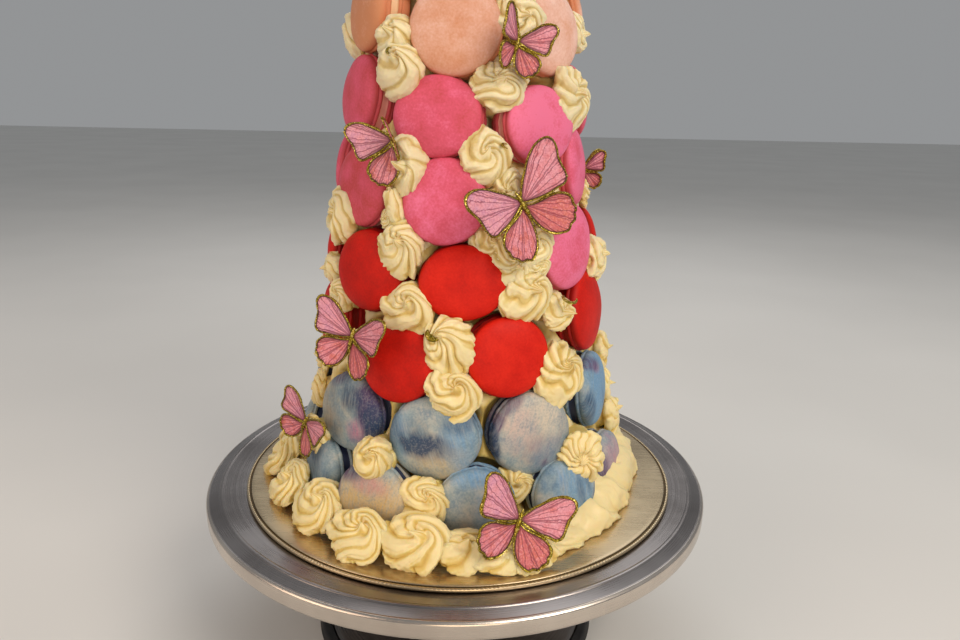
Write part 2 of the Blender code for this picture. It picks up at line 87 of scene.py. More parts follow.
# piped swirls of the front: (turn, height, width), and for some how far they stand out
swirls = (
    (27, 256, 23), (80, 254, 22), (-32, 245, 21), (-28, 230, 26), (17, 224, 28),
    (60, 217, 30), (10.6, 191, 28), (-22, 187, 26), (20, 178, 20), (-62, 157, 28),
    (-26, 163, 17), (-23, 146, 27), (29, 150, 25), (78, 135, 27), (-72, 127, 20),
    (21, 139, 20), (28, 126, 27), (-19, 119, 26), (-56, 116, 18), (42, 114, 20),
    (-4, 102, 27), (41, 82, 28), (-1, 77, 29), (88, 76, 22), (-86, 71, 22),
    (86, 56, 22), (-79, 52, 22), (-26.5, 39, 26, 8), (43, 37, 28, 10), (-58, 34, 18, 4),
    (88, 36, 24, 4), (-9, 23, 25, 6),
)
gaps = dict(
    rear=dict(count=11, low=26, high=258), crown=dict(count=11, low=284, high=440),
    small=dict(count=14, low=30, high=250, width=18, out=-6),
    frontTurn=96, step=2.0, margin=3, extra=16, least=20, most=28,
)

# border: rosettes as (turn, width), the even ones of the back, and the ridge's (turn,
# outer radius, height)
borderFront = (
    (-98, 29), (-80, 28), (-61, 27), (-42, 29), (-24, 27), (-9.5, 29), (2.5, 22), (11, 20),
    (19, 18),
)
borderRear = dict(first=132, last=242, count=6, width=32)
borderForm = (
    (-180, 106, 11), (-120, 104, 11), (-60, 104, 11), (-40, 106, 10), (-24, 111, 8),
    (-10, 108, 8), (0, 110, 8), (10, 114, 7), (20, 117, 7), (30, 116, 9), (40, 113, 14),
    (50, 110, 20), (62, 107.5, 24), (84, 107.5, 25), (105, 108, 22), (125, 106, 12),
    (180, 106, 11),
)
border = dict(root=10, tip=48, proud=2.5, smeared=(24, 40, 100, 126))

butterflies = (
    dict(turn=21, height=242, out=6, span=32, head=18, left=40, right=14),
    dict(turn=-25, height=197, out=7, span=41, head=-26, left=8, right=66, small=0.55),
    dict(turn=21.5, height=169.5, out=7, span=53, head=-33, left=16, right=9),
    dict(turn=96, height=181, out=-3, span=25, head=0, left=62, right=70),
    dict(turn=-36, height=101, out=9, span=42, head=12, left=10, right=22, yaw=14),
    dict(turn=-58, height=45, out=10, span=36, head=26, left=20, right=8, yaw=14),
    dict(turn=15.4, height=14.6, out=25.6, span=46, head=24, left=14, right=14, lean=15),
    dict(turn=-8, height=352, out=7, span=38, head=-16, left=24, right=30),
)


def softNoise(points, cell, seed=0):
    # random heights at the corners of a lattice of this cell size, eased between: -1 to 1
    scaled = np.asarray(points, float) / cell
    base = np.floor(scaled).astype(np.int64)
    share = scaled - base
    share = share * share * (3 - 2 * share)
    total = np.zeros(scaled.shape[:-1])
    for corner in itertools.product((0, 1), repeat=3):
        at = base + corner
        mixed = at[..., 0] * 73856093 ^ at[..., 1] * 19349663 ^ at[..., 2] * 83492791
        mixed = (mixed ^ (seed * 2654435761)) & 0xFFFFFFFF
        mixed = (mixed ^ (mixed >> 15)) * 2246822519 & 0xFFFFFFFF
        mixed = (mixed ^ (mixed >> 13)) * 3266489917 & 0xFFFFFFFF
        value = ((mixed ^ (mixed >> 16)) & 0xFFFF) / 32767.5 - 1
        total += value * np.prod(np.where(corner, share, 1 - share), axis=-1)
    return total


def smooth(value, low, high):
    # 0 below low, 1 above high, an S-curve between
    share = np.clip((value - low) / (high - low), 0, 1)
    return share * share * (3 - 2 * share)


def wrapped(turn):
    # the same turn from -180 up to 180 degrees: the rest of its division by a full circle
    return (turn + 180) % 360 - 180


def skin(rings, loop=False, band=None, **values):
    # a closed skin over rings of points (rings, points in a ring, 3): each end is closed
    # on the middle of its ring, or the last ring runs on into the first where loop is set;
    # band gives the material number between one ring and the next
    rings = np.asarray(rings, float)
    count, around = rings.shape[:2]
    spans = count if loop else count - 1
    low = (np.arange(spans) * around)[:, None]
    high = (low + around) % (count * around)
    here = np.arange(around)[None]
    following = (here + 1) % around
    quads = np.stack((low + here, low + following, high + following, high + here), -1)
    number = np.zeros(spans, int) if band is None else np.asarray(band, int)
    part = dict(points=rings.reshape(-1, 3), quads=quads.reshape(-1, 4),
                tris=np.zeros((0, 3), int), band=np.repeat(number, around))
    part["values"] = {
        name: np.asarray(given, float).reshape(count * around, -1)
        for name, given in values.items()
    }
    if not loop:
        here, following = here[0], following[0]
        top = (count - 1) * around
        first, last = count * around, count * around + 1
        part["points"] = np.vstack((part["points"], rings[0].mean(0), rings[-1].mean(0)))
        part["tris"] = np.vstack((
            np.stack((following, here, np.full(around, first)), -1),
            np.stack((top + here, top + following, np.full(around, last)), -1)))
        part["ends"] = (number[0], number[-1])
        for name, given in part["values"].items():
            ends = (given[:around].mean(0), given[-around:].mean(0))
            part["values"][name] = np.vstack((given, *ends))
    faces = np.vstack((quads.reshape(-1, 4)[:, [0, 1, 2]], quads.reshape(-1, 4)[:, [0, 2, 3]],
                       part["tris"]))
    corners = part["points"][faces] - part["points"].mean(0)
    if np.linalg.det(corners).sum() < 0:  # turn the skin outside out
        part["quads"] = part["quads"][:, ::-1]
        part["tris"] = part["tris"][:, ::-1]
    return part


def setMesh(name, parts, materials, body, replaces=(), sharp=None):
    # the parts as one mesh object in metres that rides on the body
    offsets = np.cumsum([0] + [len(part["points"]) for part in parts])
    points = np.vstack([part["points"] for part in parts]) * 0.001
    quads = np.vstack([part["quads"] + at for part, at in zip(parts, offsets)])
    tris = np.vstack([part["tris"] + at for part, at in zip(parts, offsets)])
    numbers = [part["band"] for part in parts]
    for part in parts:
        caps = len(part["tris"]) // 2
        numbers.append(np.repeat(part.get("ends", (0, 0)), caps))
    mesh = bpy.data.meshes.new(name)
    mesh.vertices.add(len(points))
    mesh.vertices.foreach_set("co", points.astype(np.float32).ravel())
    mesh.loops.add(quads.size + tris.size)
    mesh.loops.foreach_set("vertex_index", np.concatenate((quads.ravel(), tris.ravel())))
    mesh.polygons.add(len(quads) + len(tris))
    starts = np.concatenate((
        np.arange(len(quads)) * 4, quads.size + np.arange(len(tris)) * 3))
    mesh.polygons.foreach_set("loop_start", starts)
    mesh.polygons.foreach_set("material_index", np.concatenate(numbers))
    mesh.update(calc_edges=True)
    for key in parts[0]["values"]:
        given = np.vstack([part["values"][key] for part in parts]).astype(np.float32)
        kind, field = ("FLOAT", "value") if given.shape[1] == 1 else ("FLOAT_VECTOR", "vector")
        mesh.attributes.new(key, kind, "POINT").data.foreach_set(field, given.ravel())
    mesh.shade_smooth()
    if sharp:
        mesh.set_sharp_from_angle(angle=math.radians(sharp))
    obj = bpy.data.objects.new(name, mesh)
    for finish in materials:
        mesh.materials.append(finish)
    bpy.context.scene.collection.objects.link(obj)
    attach(obj, body)
    if replaces:
        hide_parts(*replaces)
    return obj


def faceRadius(height):
    # the cone of the macarons' faces narrows by the taper for each millimetre of height
    return tower["faceRadius"] - tower["taper"] * height


def onFace(turn, height, out=0.0, lean=0.0):
    # origin and axes (right, up the slope, outwards) at a point of the macarons' cone
    angle = math.radians(turn)
    across = np.array((math.cos(angle), math.sin(angle), 0))
    level = np.array((math.sin(angle), -math.cos(angle), 0))
    outward = level * math.cos(slope + lean) + np.array((0, 0, math.sin(slope + lean)))
    place = level * faceRadius(height) + outward * out
    place = place + (tower["x"], 0, stand["boardTop"] + height)
    return place, np.array((across, np.cross(outward, across), outward))


def ringOfMacarons(row):
    # (turn, height, size, out) round one row: the front as listed, the rest spread evenly
    first, last = row["front"][0], row["front"][-1]
    count, lift = row["rest"]
    step = (360 - (last[0] - first[0])) / (count + 1)
    rest = [(last[0] + step * i, lift, 0.98) for i in range(1, count + 1)]
    return [(turn, row["height"] + up, size, sum(out))
            for turn, up, size, *out in (*row["front"], *rest)]


def widestGaps(spots, wanted, turns):
    # the places farthest from every spot, one after another, each a spot for the next
    turn, height = np.meshgrid(turns, np.arange(wanted["low"], wanted["high"], gaps["step"]))
    radius = faceRadius(height) - macaron["thick"] / 2
    room = np.full(turn.shape, 1e3)
    found = []
    for spot in spots:
        across = np.radians(wrapped(turn - spot[0])) * radius
        room = np.minimum(room, np.hypot(across, height - spot[1]) - spot[2])
    for _ in range(wanted["count"]):
        best = np.unravel_index(np.argmax(room), room.shape)
        width = np.clip(2 * room[best] + gaps["extra"], gaps["least"], gaps["most"])
        found.append((float(turn[best]), float(height[best]), float(width)))
        across = np.radians(wrapped(turn - turn[best])) * radius
        away = np.hypot(across, height - height[best]) - (width / 2 + gaps["margin"])
        room = np.minimum(room, away)
    return found


def allSwirls():
    # the swirls that the front list leaves out, as (turn, height, width): those at the back
    # and on the crown, and small ones deeper in the gaps that are left at the back
    spots = [(turn, height, size * macaron["radius"])
             for row in rows for turn, height, size, _ in ringOfMacarons(row)]
    spots += [(turn, height, width / 2 + gaps["margin"]) for turn, height, width, *_ in swirls]
    side, step = gaps["frontTurn"], gaps["step"]
    rear = widestGaps(spots, gaps["rear"], np.arange(side, 360 - side, step))
    spots += [(turn, height, width / 2 + gaps["margin"]) for turn, height, width in rear]
    crown = widestGaps(spots, gaps["crown"], np.arange(side, 360 + side, step))
    spots += [(turn, height, width / 2 + gaps["margin"]) for turn, height, width in crown]
    small = widestGaps(spots, gaps["small"], np.arange(side, 360 - side, step))
    return rear, crown, small


rearSwirls, crownSwirls, smallSwirls = allSwirls()
print("placed", len(swirls), "front,", len(rearSwirls), "rear and", len(crownSwirls),
      "crown swirls")


def linear(code, alpha=1.0):
    # an sRGB hex colour as linear numbers
    parts = [int(code[i:i + 2], 16) / 255 for i in (1, 3, 5)]
    return (*(c / 12.92 if c <= 0.04045 else ((c + 0.055) / 1.055) ** 2.4 for c in parts), alpha)


def addNode(tree, kind, inputs=(), stops=(), **settings):
    # one node with its settings; inputs gives values or other nodes' outputs, by the socket's
    # name or number, or in order; stops are a colour ramp's (position, hex) pairs
    node = tree.nodes.new("ShaderNode" + kind)
    for key, value in settings.items():
        setattr(node, key, value)
    for key, value in inputs.items() if isinstance(inputs, dict) else enumerate(inputs):
        if isinstance(value, bpy.types.NodeSocket):
            tree.links.new(value, node.inputs[key])
        else:
            node.inputs[key].default_value = value
    for number, (place, code) in enumerate(stops):
        spots = node.color_ramp.elements
        element = spots[number] if number < 2 else spots.new(place)
        element.position, element.color = place, linear(code)
    return node


def newMaterial(name, **sockets):
    # a principled material; sockets are set directly on its shader
    made = bpy.data.materials.new(name)
    made.use_nodes = True
    shader = made.node_tree.nodes["Principled BSDF"]
    for key, value in sockets.items():
        shader.inputs[key.replace("_", " ")].default_value = value
    return made, made.node_tree, shader


def bakedShell(name, base, pale, deep, edge, rough):
    # Almond meringue baked as a macaron shell: a matt, faintly grained skin with a soft
    # sheen, colour that drifts over the dome, and tiny pits; the rim of the dome, the ruffled
    # foot and the back are painted darker in the edge colour as painted shade
    made, tree, shader = newMaterial(
        name, Roughness=rough, Specular_IOR_Level=0.22, Subsurface_Weight=0.06,
        Subsurface_Scale=0.002)
    place = addNode(tree, "TexCoord").outputs["Object"]
    local = addNode(tree, "Attribute", attribute_name="local").outputs["Vector"]
    # the tone value shifts a macaron's colour: a random tone, and for some in front painted shade
    # on the left of the tower and painted light on the right
    tone = addNode(tree, "Attribute", attribute_name="tone").outputs["Fac"]
    drift = addNode(tree, "TexNoise", {"Vector": place, "Scale": 90.0, "Detail": 3.0})
    grain = addNode(tree, "TexNoise", {"Vector": place, "Scale": 900.0, "Detail": 2.0})
    level = addNode(
        tree, "Math", (drift.outputs["Fac"], 0.9, tone), operation="MULTIPLY_ADD").outputs[0]
    level = addNode(
        tree, "Math", (grain.outputs["Fac"], 0.5, level), operation="MULTIPLY_ADD").outputs[0]
    colour = addNode(
        tree, "ValToRGB", (level,), ((0.3, deep), (1.1, pale), (0.7, base))).outputs[0]
    apart = addNode(tree, "SeparateXYZ", {0: local})
    # painted shade: below the dome's rim the shell turns to the darker edge colour
    foot = addNode(tree, "MapRange", {
        "Value": apart.outputs["Z"], "From Min": 0.82, "From Max": 0.72}).outputs[0]
    colour = addNode(
        tree, "Mix", {0: foot, 6: colour, 7: linear(edge)}, data_type="RGBA").outputs[2]
    tree.links.new(colour, shader.inputs["Base Color"])
    pits = addNode(tree, "TexVoronoi", {"Vector": place, "Scale": 380.0})
    pit = addNode(tree, "MapRange", {
        "Value": pits.outputs["Distance"], "From Min": 0.05, "From Max": 0.16}).outputs[0]
    height = addNode(
        tree, "Math", (grain.outputs["Fac"], 1.2, pit), operation="MULTIPLY_ADD").outputs[0]
    bump = addNode(tree, "Bump", {"Height": height, "Strength": 0.35, "Distance": 0.00012})
    tree.links.new(bump.outputs[0], shader.inputs["Normal"])
    return made


def marbledShell():
    # Macaron shells painted with food colour: watery grey-blues, brushed with navy, plum
    # and rose, with sand-coloured patches; brush lines and the grain break the paint up
    made, tree, shader = newMaterial(
        "marbled macaron shell", Roughness=0.5, Specular_IOR_Level=0.3,
        Subsurface_Weight=0.04, Subsurface_Scale=0.002)
    place = addNode(tree, "TexCoord").outputs["Object"]
    wash = addNode(tree, "TexNoise", {
        "Vector": place, "Scale": 95.0, "Detail": 7.0, "Roughness": 0.68}).outputs["Fac"]
    speck = addNode(tree, "TexNoise", {
        "Vector": place, "Scale": 900.0, "Detail": 3.0, "Roughness": 0.6}).outputs["Fac"]
    brushed = addNode(tree, "Attribute", attribute_name="brushed").outputs["Vector"]
    lines = addNode(tree, "TexNoise", {
        "Vector": brushed, "Scale": 3.2, "Detail": 5.0, "Roughness": 0.65}).outputs["Fac"]
    colour = addNode(
        tree, "ValToRGB", (wash,), ((0.3, "#66849A"), (0.7, "#C6C2B2"),
        (0.5, "#94A4A8"))).outputs[0]
    grain = addNode(tree, "Math", (wash, 0.5), operation="MULTIPLY").outputs[0]
    grain = addNode(tree, "Math", (lines, 0.8, grain), operation="MULTIPLY_ADD").outputs[0]
    grain = addNode(tree, "Math", (speck, 0.4, grain), operation="MULTIPLY_ADD").outputs[0]
    grain = addNode(tree, "MapRange", {
        "Value": grain, "From Min": 0.68, "From Max": 1.02, "To Min": 0.4,
        "To Max": 1.3}).outputs[0]
    for number, group in enumerate((("sand", "ochre", "sky"), ("rose", "plum", "navy"))):
        paint = addNode(tree, "Attribute", attribute_name="paint%d" % number)
        apart = addNode(tree, "SeparateXYZ", {0: paint.outputs["Vector"]})
        for socket, pigment in enumerate(group):
            amount = addNode(
                tree, "Math", (apart.outputs[socket], grain), operation="MULTIPLY").outputs[0]
            amount = addNode(tree, "MapRange", {
                "Value": amount, "From Min": 0.04, "From Max": 1.05, "To Max": 0.94}).outputs[0]
            colour = addNode(
                tree, "Mix", {0: amount, 6: colour, 7: linear(pigments[pigment])},
                data_type="RGBA").outputs[2]
    light = addNode(tree, "MapRange", {
        "Value": speck, "From Min": 0.48, "From Max": 0.74, "To Max": 0.2}).outputs[0]
    colour = addNode(
        tree, "Mix", {0: light, 6: colour, 7: linear("#D9D3C6")}, data_type="RGBA").outputs[2]
    dark = addNode(tree, "MapRange", {
        "Value": speck, "From Min": 0.5, "From Max": 0.28, "To Max": 0.2}).outputs[0]
    colour = addNode(
        tree, "Mix", {0: dark, 6: colour, 7: linear("#39465E")}, data_type="RGBA").outputs[2]
    tree.links.new(colour, shader.inputs["Base Color"])
    bump = addNode(tree, "Bump", {"Height": speck, "Strength": 0.35, "Distance": 0.00018})
    tree.links.new(bump.outputs[0], shader.inputs["Normal"])
    return made


def pipedCream():
    # Whipped buttercream: pale ivory crests as painted highlight, yellower furrows as painted
    # shade, a soft greasy gloss and a few torn bubbles
    made, tree, shader = newMaterial(
        "whipped buttercream", Roughness=0.42, Specular_IOR_Level=0.45,
        Subsurface_Weight=0.25, Subsurface_Scale=0.004)
    shader.inputs["Subsurface Radius"].default_value = (1.0, 0.6, 0.25)
    place = addNode(tree, "TexCoord").outputs["Object"]
    # crest value: painted highlight where it is high, painted shade where it is low
    crest = addNode(tree, "Attribute", attribute_name="crest").outputs["Fac"]
    drift = addNode(tree, "TexNoise", {"Vector": place, "Scale": 60.0, "Detail": 2.0})
    level = addNode(
        tree, "Math", (drift.outputs["Fac"], 0.5, crest), operation="MULTIPLY_ADD").outputs[0]
    low = addNode(
        tree, "ValToRGB", (level,), ((0.15, "#AC7C26"), (1.2, "#EFDDA6"), (0.42, "#CCA549"),
        (0.8, "#E1C778"))).outputs[0]
    high = addNode(
        tree, "ValToRGB", (level,), ((0.15, "#9C7730"), (1.2, "#E9DDB6"), (0.42, "#C2A35F"),
        (0.8, "#D8C387"))).outputs[0]
    apart = addNode(tree, "SeparateXYZ", {0: place})
    up = addNode(tree, "MapRange", {
        "Value": apart.outputs["Z"], "From Min": 0.16, "From Max": 0.32}).outputs[0]
    colour = addNode(tree, "Mix", {0: up, 6: low, 7: high}, data_type="RGBA").outputs[2]
    tree.links.new(colour, shader.inputs["Base Color"])
    grain = addNode(tree, "TexNoise", {"Vector": place, "Scale": 700.0, "Detail": 3.0})
    bubbles = addNode(tree, "TexVoronoi", {"Vector": place, "Scale": 260.0})
    torn = addNode(tree, "MapRange", {
        "Value": bubbles.outputs["Distance"], "From Min": 0.04, "From Max": 0.14}).outputs[0]
    height = addNode(
        tree, "Math", (grain.outputs["Fac"], 1.5, torn), operation="MULTIPLY_ADD").outputs[0]
    bump = addNode(tree, "Bump", {"Height": height, "Strength": 0.4, "Distance": 0.0002})
    tree.links.new(bump.outputs[0], shader.inputs["Normal"])
    return made


def brushedMetal(name, pale, dark, rough, lines, metallic=1.0, straight=False):
    # Aluminium or steel spun and brushed: fine circular lines that pull highlights into
    # spokes, and cloudy handling marks; lines is how many show in a millimetre. The foil of
    # a cake board is brushed straight across and its lacquer scatters some of the light.
    made, tree, shader = newMaterial(name, Metallic=metallic)
    place = addNode(tree, "TexCoord").outputs["Object"]
    apart = addNode(tree, "SeparateXYZ", {0: place})
    square = addNode(
        tree, "Math", (apart.outputs[0], apart.outputs[0]), operation="MULTIPLY").outputs[0]
    square = addNode(
        tree, "Math", (apart.outputs[1], apart.outputs[1], square),
        operation="MULTIPLY_ADD").outputs[0]
    radius = addNode(tree, "Math", (square,), operation="SQRT").outputs[0]
    along = addNode(tree, "Math", (apart.outputs[0], 0.04), operation="MULTIPLY").outputs[0]
    across = addNode(tree, "CombineXYZ", {
        0: apart.outputs[1] if straight else radius, 1: apart.outputs[2],
        2: along if straight else 0.0}).outputs[0]
    brush = addNode(tree, "TexNoise", {"Vector": across, "Scale": lines * 1000.0, "Detail": 2.0})
    clouds = addNode(tree, "TexNoise", {"Vector": place, "Scale": 18.0, "Detail": 4.0})
    mark = addNode(
        tree, "Math", (brush.outputs["Fac"], 0.5, clouds.outputs["Fac"]),
        operation="MULTIPLY_ADD").outputs[0]
    colour = addNode(tree, "ValToRGB", (mark,), ((0.5, dark), (0.95, pale))).outputs[0]
    tree.links.new(colour, shader.inputs["Base Color"])
    worn = addNode(tree, "MapRange", {
        "Value": mark, "From Min": 0.4, "From Max": 1.1, "To Min": rough - 0.07,
        "To Max": rough + 0.1}).outputs[0]
    tree.links.new(worn, shader.inputs["Roughness"])
    bump = addNode(tree, "Bump", {
        "Height": brush.outputs["Fac"], "Strength": 0.2, "Distance": 0.00005})
    tree.links.new(bump.outputs[0], shader.inputs["Normal"])
    return made


def footRubber():
    # Moulded black rubber: dull, faintly dusty
    made, tree, shader = newMaterial("moulded foot rubber", Roughness=0.65)
    place = addNode(tree, "TexCoord").outputs["Object"]
    dust = addNode(tree, "TexNoise", {"Vector": place, "Scale": 120.0, "Detail": 4.0})
    colour = addNode(
        tree, "ValToRGB", (dust.outputs["Fac"],), ((0.4, "#141416"), (0.75, "#2C2B2B"))).outputs[0]
    tree.links.new(colour, shader.inputs["Base Color"])
    bump = addNode(tree, "Bump", {
        "Height": dust.outputs["Fac"], "Strength": 0.2, "Distance": 0.0001})
    tree.links.new(bump.outputs[0], shader.inputs["Normal"])
    return made


def printedWafer():
    # Wafer paper printed as a butterfly's wing: mauve turning to coral, with dark veins
    # that fan out from the root, short ticks along the margin and a brown line inside
    # the gilded edge
    made, tree, shader = newMaterial(
        "printed wafer paper", Roughness=0.45, Specular_IOR_Level=0.3,
        Subsurface_Weight=0.06, Subsurface_Scale=0.001)
    wing = addNode(tree, "Attribute", attribute_name="wing")
    apart = addNode(tree, "SeparateXYZ", {0: wing.outputs["Vector"]})
    turn, reach, inset = apart.outputs
    blush = addNode(tree, "Attribute", attribute_name="blush").outputs["Fac"]
    place = addNode(tree, "TexCoord").outputs["Object"]
    cloud = addNode(tree, "TexNoise", {
        "Vector": place, "Scale": 260.0, "Detail": 4.0, "Roughness": 0.6}).outputs["Fac"]
    level = addNode(tree, "Math", (cloud, 0.9, blush), operation="MULTIPLY_ADD").outputs[0]
    colour = addNode(
        tree, "ValToRGB", (level,), ((0.3, "#C68AAB"), (1.35, "#CC6A58"), (0.6, "#DC98A8"),
        (0.85, "#D6808A"), (1.1, "#CC6E72"))).outputs[0]
    speckAndSheen = addNode(tree, "TexNoise", {
        "Vector": place, "Scale": 1100.0, "Detail": 3.0, "Roughness": 0.6}).outputs["Fac"]
    # pale flecks are painted sheen; dark flecks are the print's speckle
    for start, end, strength, tint in ((0.5, 0.72, 0.42, "#F9C4CC"), (0.5, 0.3, 0.4, "#A2465A")):
        speck = addNode(tree, "MapRange", {
            "Value": speckAndSheen, "From Min": start, "From Max": end, "To Max": strength}).outputs[0]
        colour = addNode(
            tree, "Mix", {0: speck, 6: colour, 7: linear(tint)}, data_type="RGBA").outputs[2]
    bent = addNode(tree, "Math", (cloud, 0.14, turn), operation="MULTIPLY_ADD").outputs[0]
    lines = []
    # how far in millimetres a point lies from the nearest of the fanned lines
    for spacing, near, far, strength in ((0.085, 0.3, 0.06, 0.72), (0.2, 0.55, 0.18, 0.62)):
        away = addNode(tree, "Math", (bent, spacing), operation="PINGPONG").outputs[0]
        away = addNode(tree, "Math", (away, reach), operation="MULTIPLY").outputs[0]
        line = addNode(tree, "MapRange", {"Value": away, "From Min": near, "From Max": far})
        lines.append(addNode(
            tree, "Math", (line.outputs[0], strength), operation="MULTIPLY").outputs[0])
    vein = addNode(tree, "Math", lines, operation="MAXIMUM").outputs[0]
    colour = addNode(
        tree, "Mix", {0: vein, 6: colour, 7: linear("#6E1B3A")}, data_type="RGBA").outputs[2]
    ticks = addNode(tree, "Math", (bent, 0.03), operation="PINGPONG").outputs[0]
    ticks = addNode(tree, "Math", (ticks, reach), operation="MULTIPLY").outputs[0]
    tick = addNode(
        tree, "MapRange", {"Value": ticks, "From Min": 0.3, "From Max": 0.12}).outputs[0]
    margin = addNode(tree, "MapRange", {
        "Value": inset, "From Min": 2.6, "From Max": 1.4, "To Max": 0.6}).outputs[0]
    tick = addNode(tree, "Math", (tick, margin), operation="MULTIPLY").outputs[0]
    colour = addNode(
        tree, "Mix", {0: tick, 6: colour, 7: linear("#5E2028")}, data_type="RGBA").outputs[2]
    rim = addNode(tree, "MapRange", {
        "Value": inset, "From Min": 1.15, "From Max": 0.75, "To Max": 0.9}).outputs[0]
    colour = addNode(
        tree, "Mix", {0: rim, 6: colour, 7: linear("#3E2410")}, data_type="RGBA").outputs[2]
    tree.links.new(colour, shader.inputs["Base Color"])
    bump = addNode(tree, "Bump", {
        "Height": vein, "Strength": 0.4, "Distance": 0.0001}, invert=True)
    tree.links.new(bump.outputs[0], shader.inputs["Normal"])
    return made


def goldGlitter():
    # Edible gold glitter on piping gel: flakes of a third of a millimetre, each tipped its
    # own way, from olive to bright gold
    made, tree, shader = newMaterial("edible gold glitter", Metallic=0.85, Roughness=0.35)
    place = addNode(tree, "TexCoord").outputs["Object"]
    flakes = addNode(tree, "TexVoronoi", {"Vector": place, "Scale": 2600.0})
    apart = addNode(tree, "SeparateXYZ", {0: flakes.outputs["Color"]})
    colour = addNode(
        tree, "ValToRGB", (apart.outputs[0],), ((0.0, "#463B0C"), (1.0, "#EBD98A"),
        (0.45, "#8D7C1E"), (0.8, "#B9A238"))).outputs[0]
    tree.links.new(colour, shader.inputs["Base Color"])
    bump = addNode(tree, "Bump", {
        "Height": apart.outputs[1], "Strength": 0.8, "Distance": 0.0002})
    tree.links.new(bump.outputs[0], shader.inputs["Normal"])
    return made


def cookedCaramel():
    # Hard caramel: clear amber, glossy, darker and paler in soft clouds
    made, tree, shader = newMaterial(
        "cooked caramel", Roughness=0.15, Coat_Weight=0.5, Subsurface_Weight=0.2,
        Subsurface_Scale=0.001)
    place = addNode(tree, "TexCoord").outputs["Object"]
    cloud = addNode(tree, "TexNoise", {"Vector": place, "Scale": 700.0, "Detail": 2.0})
    colour = addNode(
        tree, "ValToRGB", (cloud.outputs["Fac"],), ((0.35, "#8A4208"),
        (0.7, "#C98024"))).outputs[0]
    tree.links.new(colour, shader.inputs["Base Color"])
    return made


pigments = dict(
    sand="#CCBFAE", ochre="#C5A45F", sky="#6697C0", rose="#B77593", plum="#4A2B5E",
    navy="#213C5E",
)

# shells: plain colour, its pale and deep turns, the foot's colour, darker as painted shade, and
# the filling's
flavours = dict(
    red=dict(base="#C81606", pale="#D8220F", deep="#A61004", foot="#8E0B06", filling="#7A0A06"),
    pink=dict(base="#D95A76", pale="#E9769C", deep="#C24A50", foot="#C4505A", filling="#E9A7A0"),
    peach=dict(base="#DDAA95", pale="#EBC4B8", deep="#CE8C66", foot="#CF8561", filling="#EBC6A0"),
    apricot=dict(base="#E8BE8E", pale="#F0CFA8", deep="#D8A56E", foot="#D9A873", filling="#F0D8AE"),
    ivory=dict(base="#EFDDBB", pale="#F6EAD2", deep="#DFC598", foot="#E2C99C", filling="#F3E3BE"),
)
shellFinish = {"marbled": marbledShell()}
fillingFinish = {}
for flavour, tint in flavours.items():
    shellFinish[flavour] = bakedShell(
        flavour + " macaron shell", tint["base"], tint["pale"], tint["deep"], tint["foot"], 0.55)
    fillingFinish[flavour] = bakedShell(
        flavour + " macaron filling", *[tint["filling"]] * 4, 0.4)
fillingFinish["marbled"] = bakedShell(
    "navy macaron filling", "#2A3350", "#46506B", "#1D2340", "#2A3350", 0.45)
cream = pipedCream()
aluminium = brushedMetal("brushed aluminium", "#A39D9B", "#7D7673", 0.25, 2.2)
steel = brushedMetal("brushed steel foot", "#857E79", "#5C5651", 0.3, 1.4)
# the plate's flank: the same aluminium painted paler, a painted reflection of the lit floor in
# front
flankPaintedPale = brushedMetal("aluminium flank painted pale", "#D9CFC4", "#B5AAA0", 0.24, 3.0)
foil = brushedMetal("foil board", "#CDBA99", "#B29F80", 0.25, 1.6, metallic=0.9, straight=True)
# the groove inside the board's edge: the same foil painted dark, as painted shade
foilGrooveShade = brushedMetal("foil groove painted dark", "#6E5A3C", "#3F3220", 0.35, 1.1, straight=True)
rubber = footRubber()
wafer = printedWafer()
gilt = goldGlitter()
caramel = cookedCaramel()


shell = dict(
    around=104, domeRings=13, plainAround=68, plainRings=9, plainFrom=106, dome=6.7, foot=3.1,
    squareness=2.5, ruffle=0.35, uneven=0.012, front=11,
)


def macaronProfile(domeRings):
    # (radius share, z, ruffle share, is filling) from the middle of the back to the middle
    # of the front: half a rounded-off ellipse for a dome, a creased frilled foot, and a
    # filling that lies a little in
    steps = np.linspace(0.04, 1, domeRings) * math.pi / 2
    bend = 2 / shell["squareness"]
    domeRadius = np.sin(steps) ** bend
    domeHeight = shell["dome"] * (1 - np.cos(steps) ** bend)
    dome = np.stack((domeRadius, domeHeight, steps * 0, steps * 0), -1)
    start, deep = shell["dome"], shell["foot"]
    foot = np.array([
        (0.992, start + 0.45, 0.1, 0), (0.972, start + 0.75, 0.5, 0),
        (0.990, start + 1.1, 0.9, 0), (1.008, start + 1.6, 1, 0), (1.010, start + 2.1, 1, 0),
        (0.996, start + 2.6, 1, 0), (0.965, start + deep - 0.1, 0.6, 0),
        (0.935, start + deep + 0.1, 0.2, 1)])
    half = macaron["thick"] / 2
    middle = np.array([(0.932, start + deep + 0.6, 0.1, 1), (0.945, half, 0.1, 1)])
    rear = np.vstack((dome[::3], dome[-1:], foot, middle[:1]))
    front = np.vstack((dome, foot, middle))[::-1]
    front[:, 1] = macaron["thick"] - front[:, 1]
    return np.vstack((rear, front))


# how some of the front macarons differ from round: shares of the width and height, and
# millimetres aside and up
fits = {
    (7, 2): dict(tall=1.04, up=-2, pits=((0.5, 3.5, 0.8), (2.4, 1.6, 0.6))),
    (6, 2): dict(wide=1.03, tall=.96, aside=-1),
    (6, 3): dict(tall=.95, up=-.5), (5, 2): dict(tall=1.05),
    (4, 2): dict(wide=1.03, aside=-2, up=-1),
    (4, 3): dict(wide=1.03, tall=.94, aside=-1), (4, 4): dict(tall=1.1, up=-1),
    (3, 2): dict(tall=1.06, up=-.5), (3, 3): dict(up=-.5), (3, 4): dict(tall=1.06),
    (2, 2): dict(wide=1.07, tall=1.03, up=-1, aside=-.5),
    (2, 3): dict(tall=1.05, up=-1.5, look=-7), (2, 1): dict(look=11, aside=2),
    (1, 4): dict(look=-9), (1, 2): dict(look=5), (1, 3): dict(look=-2),
}


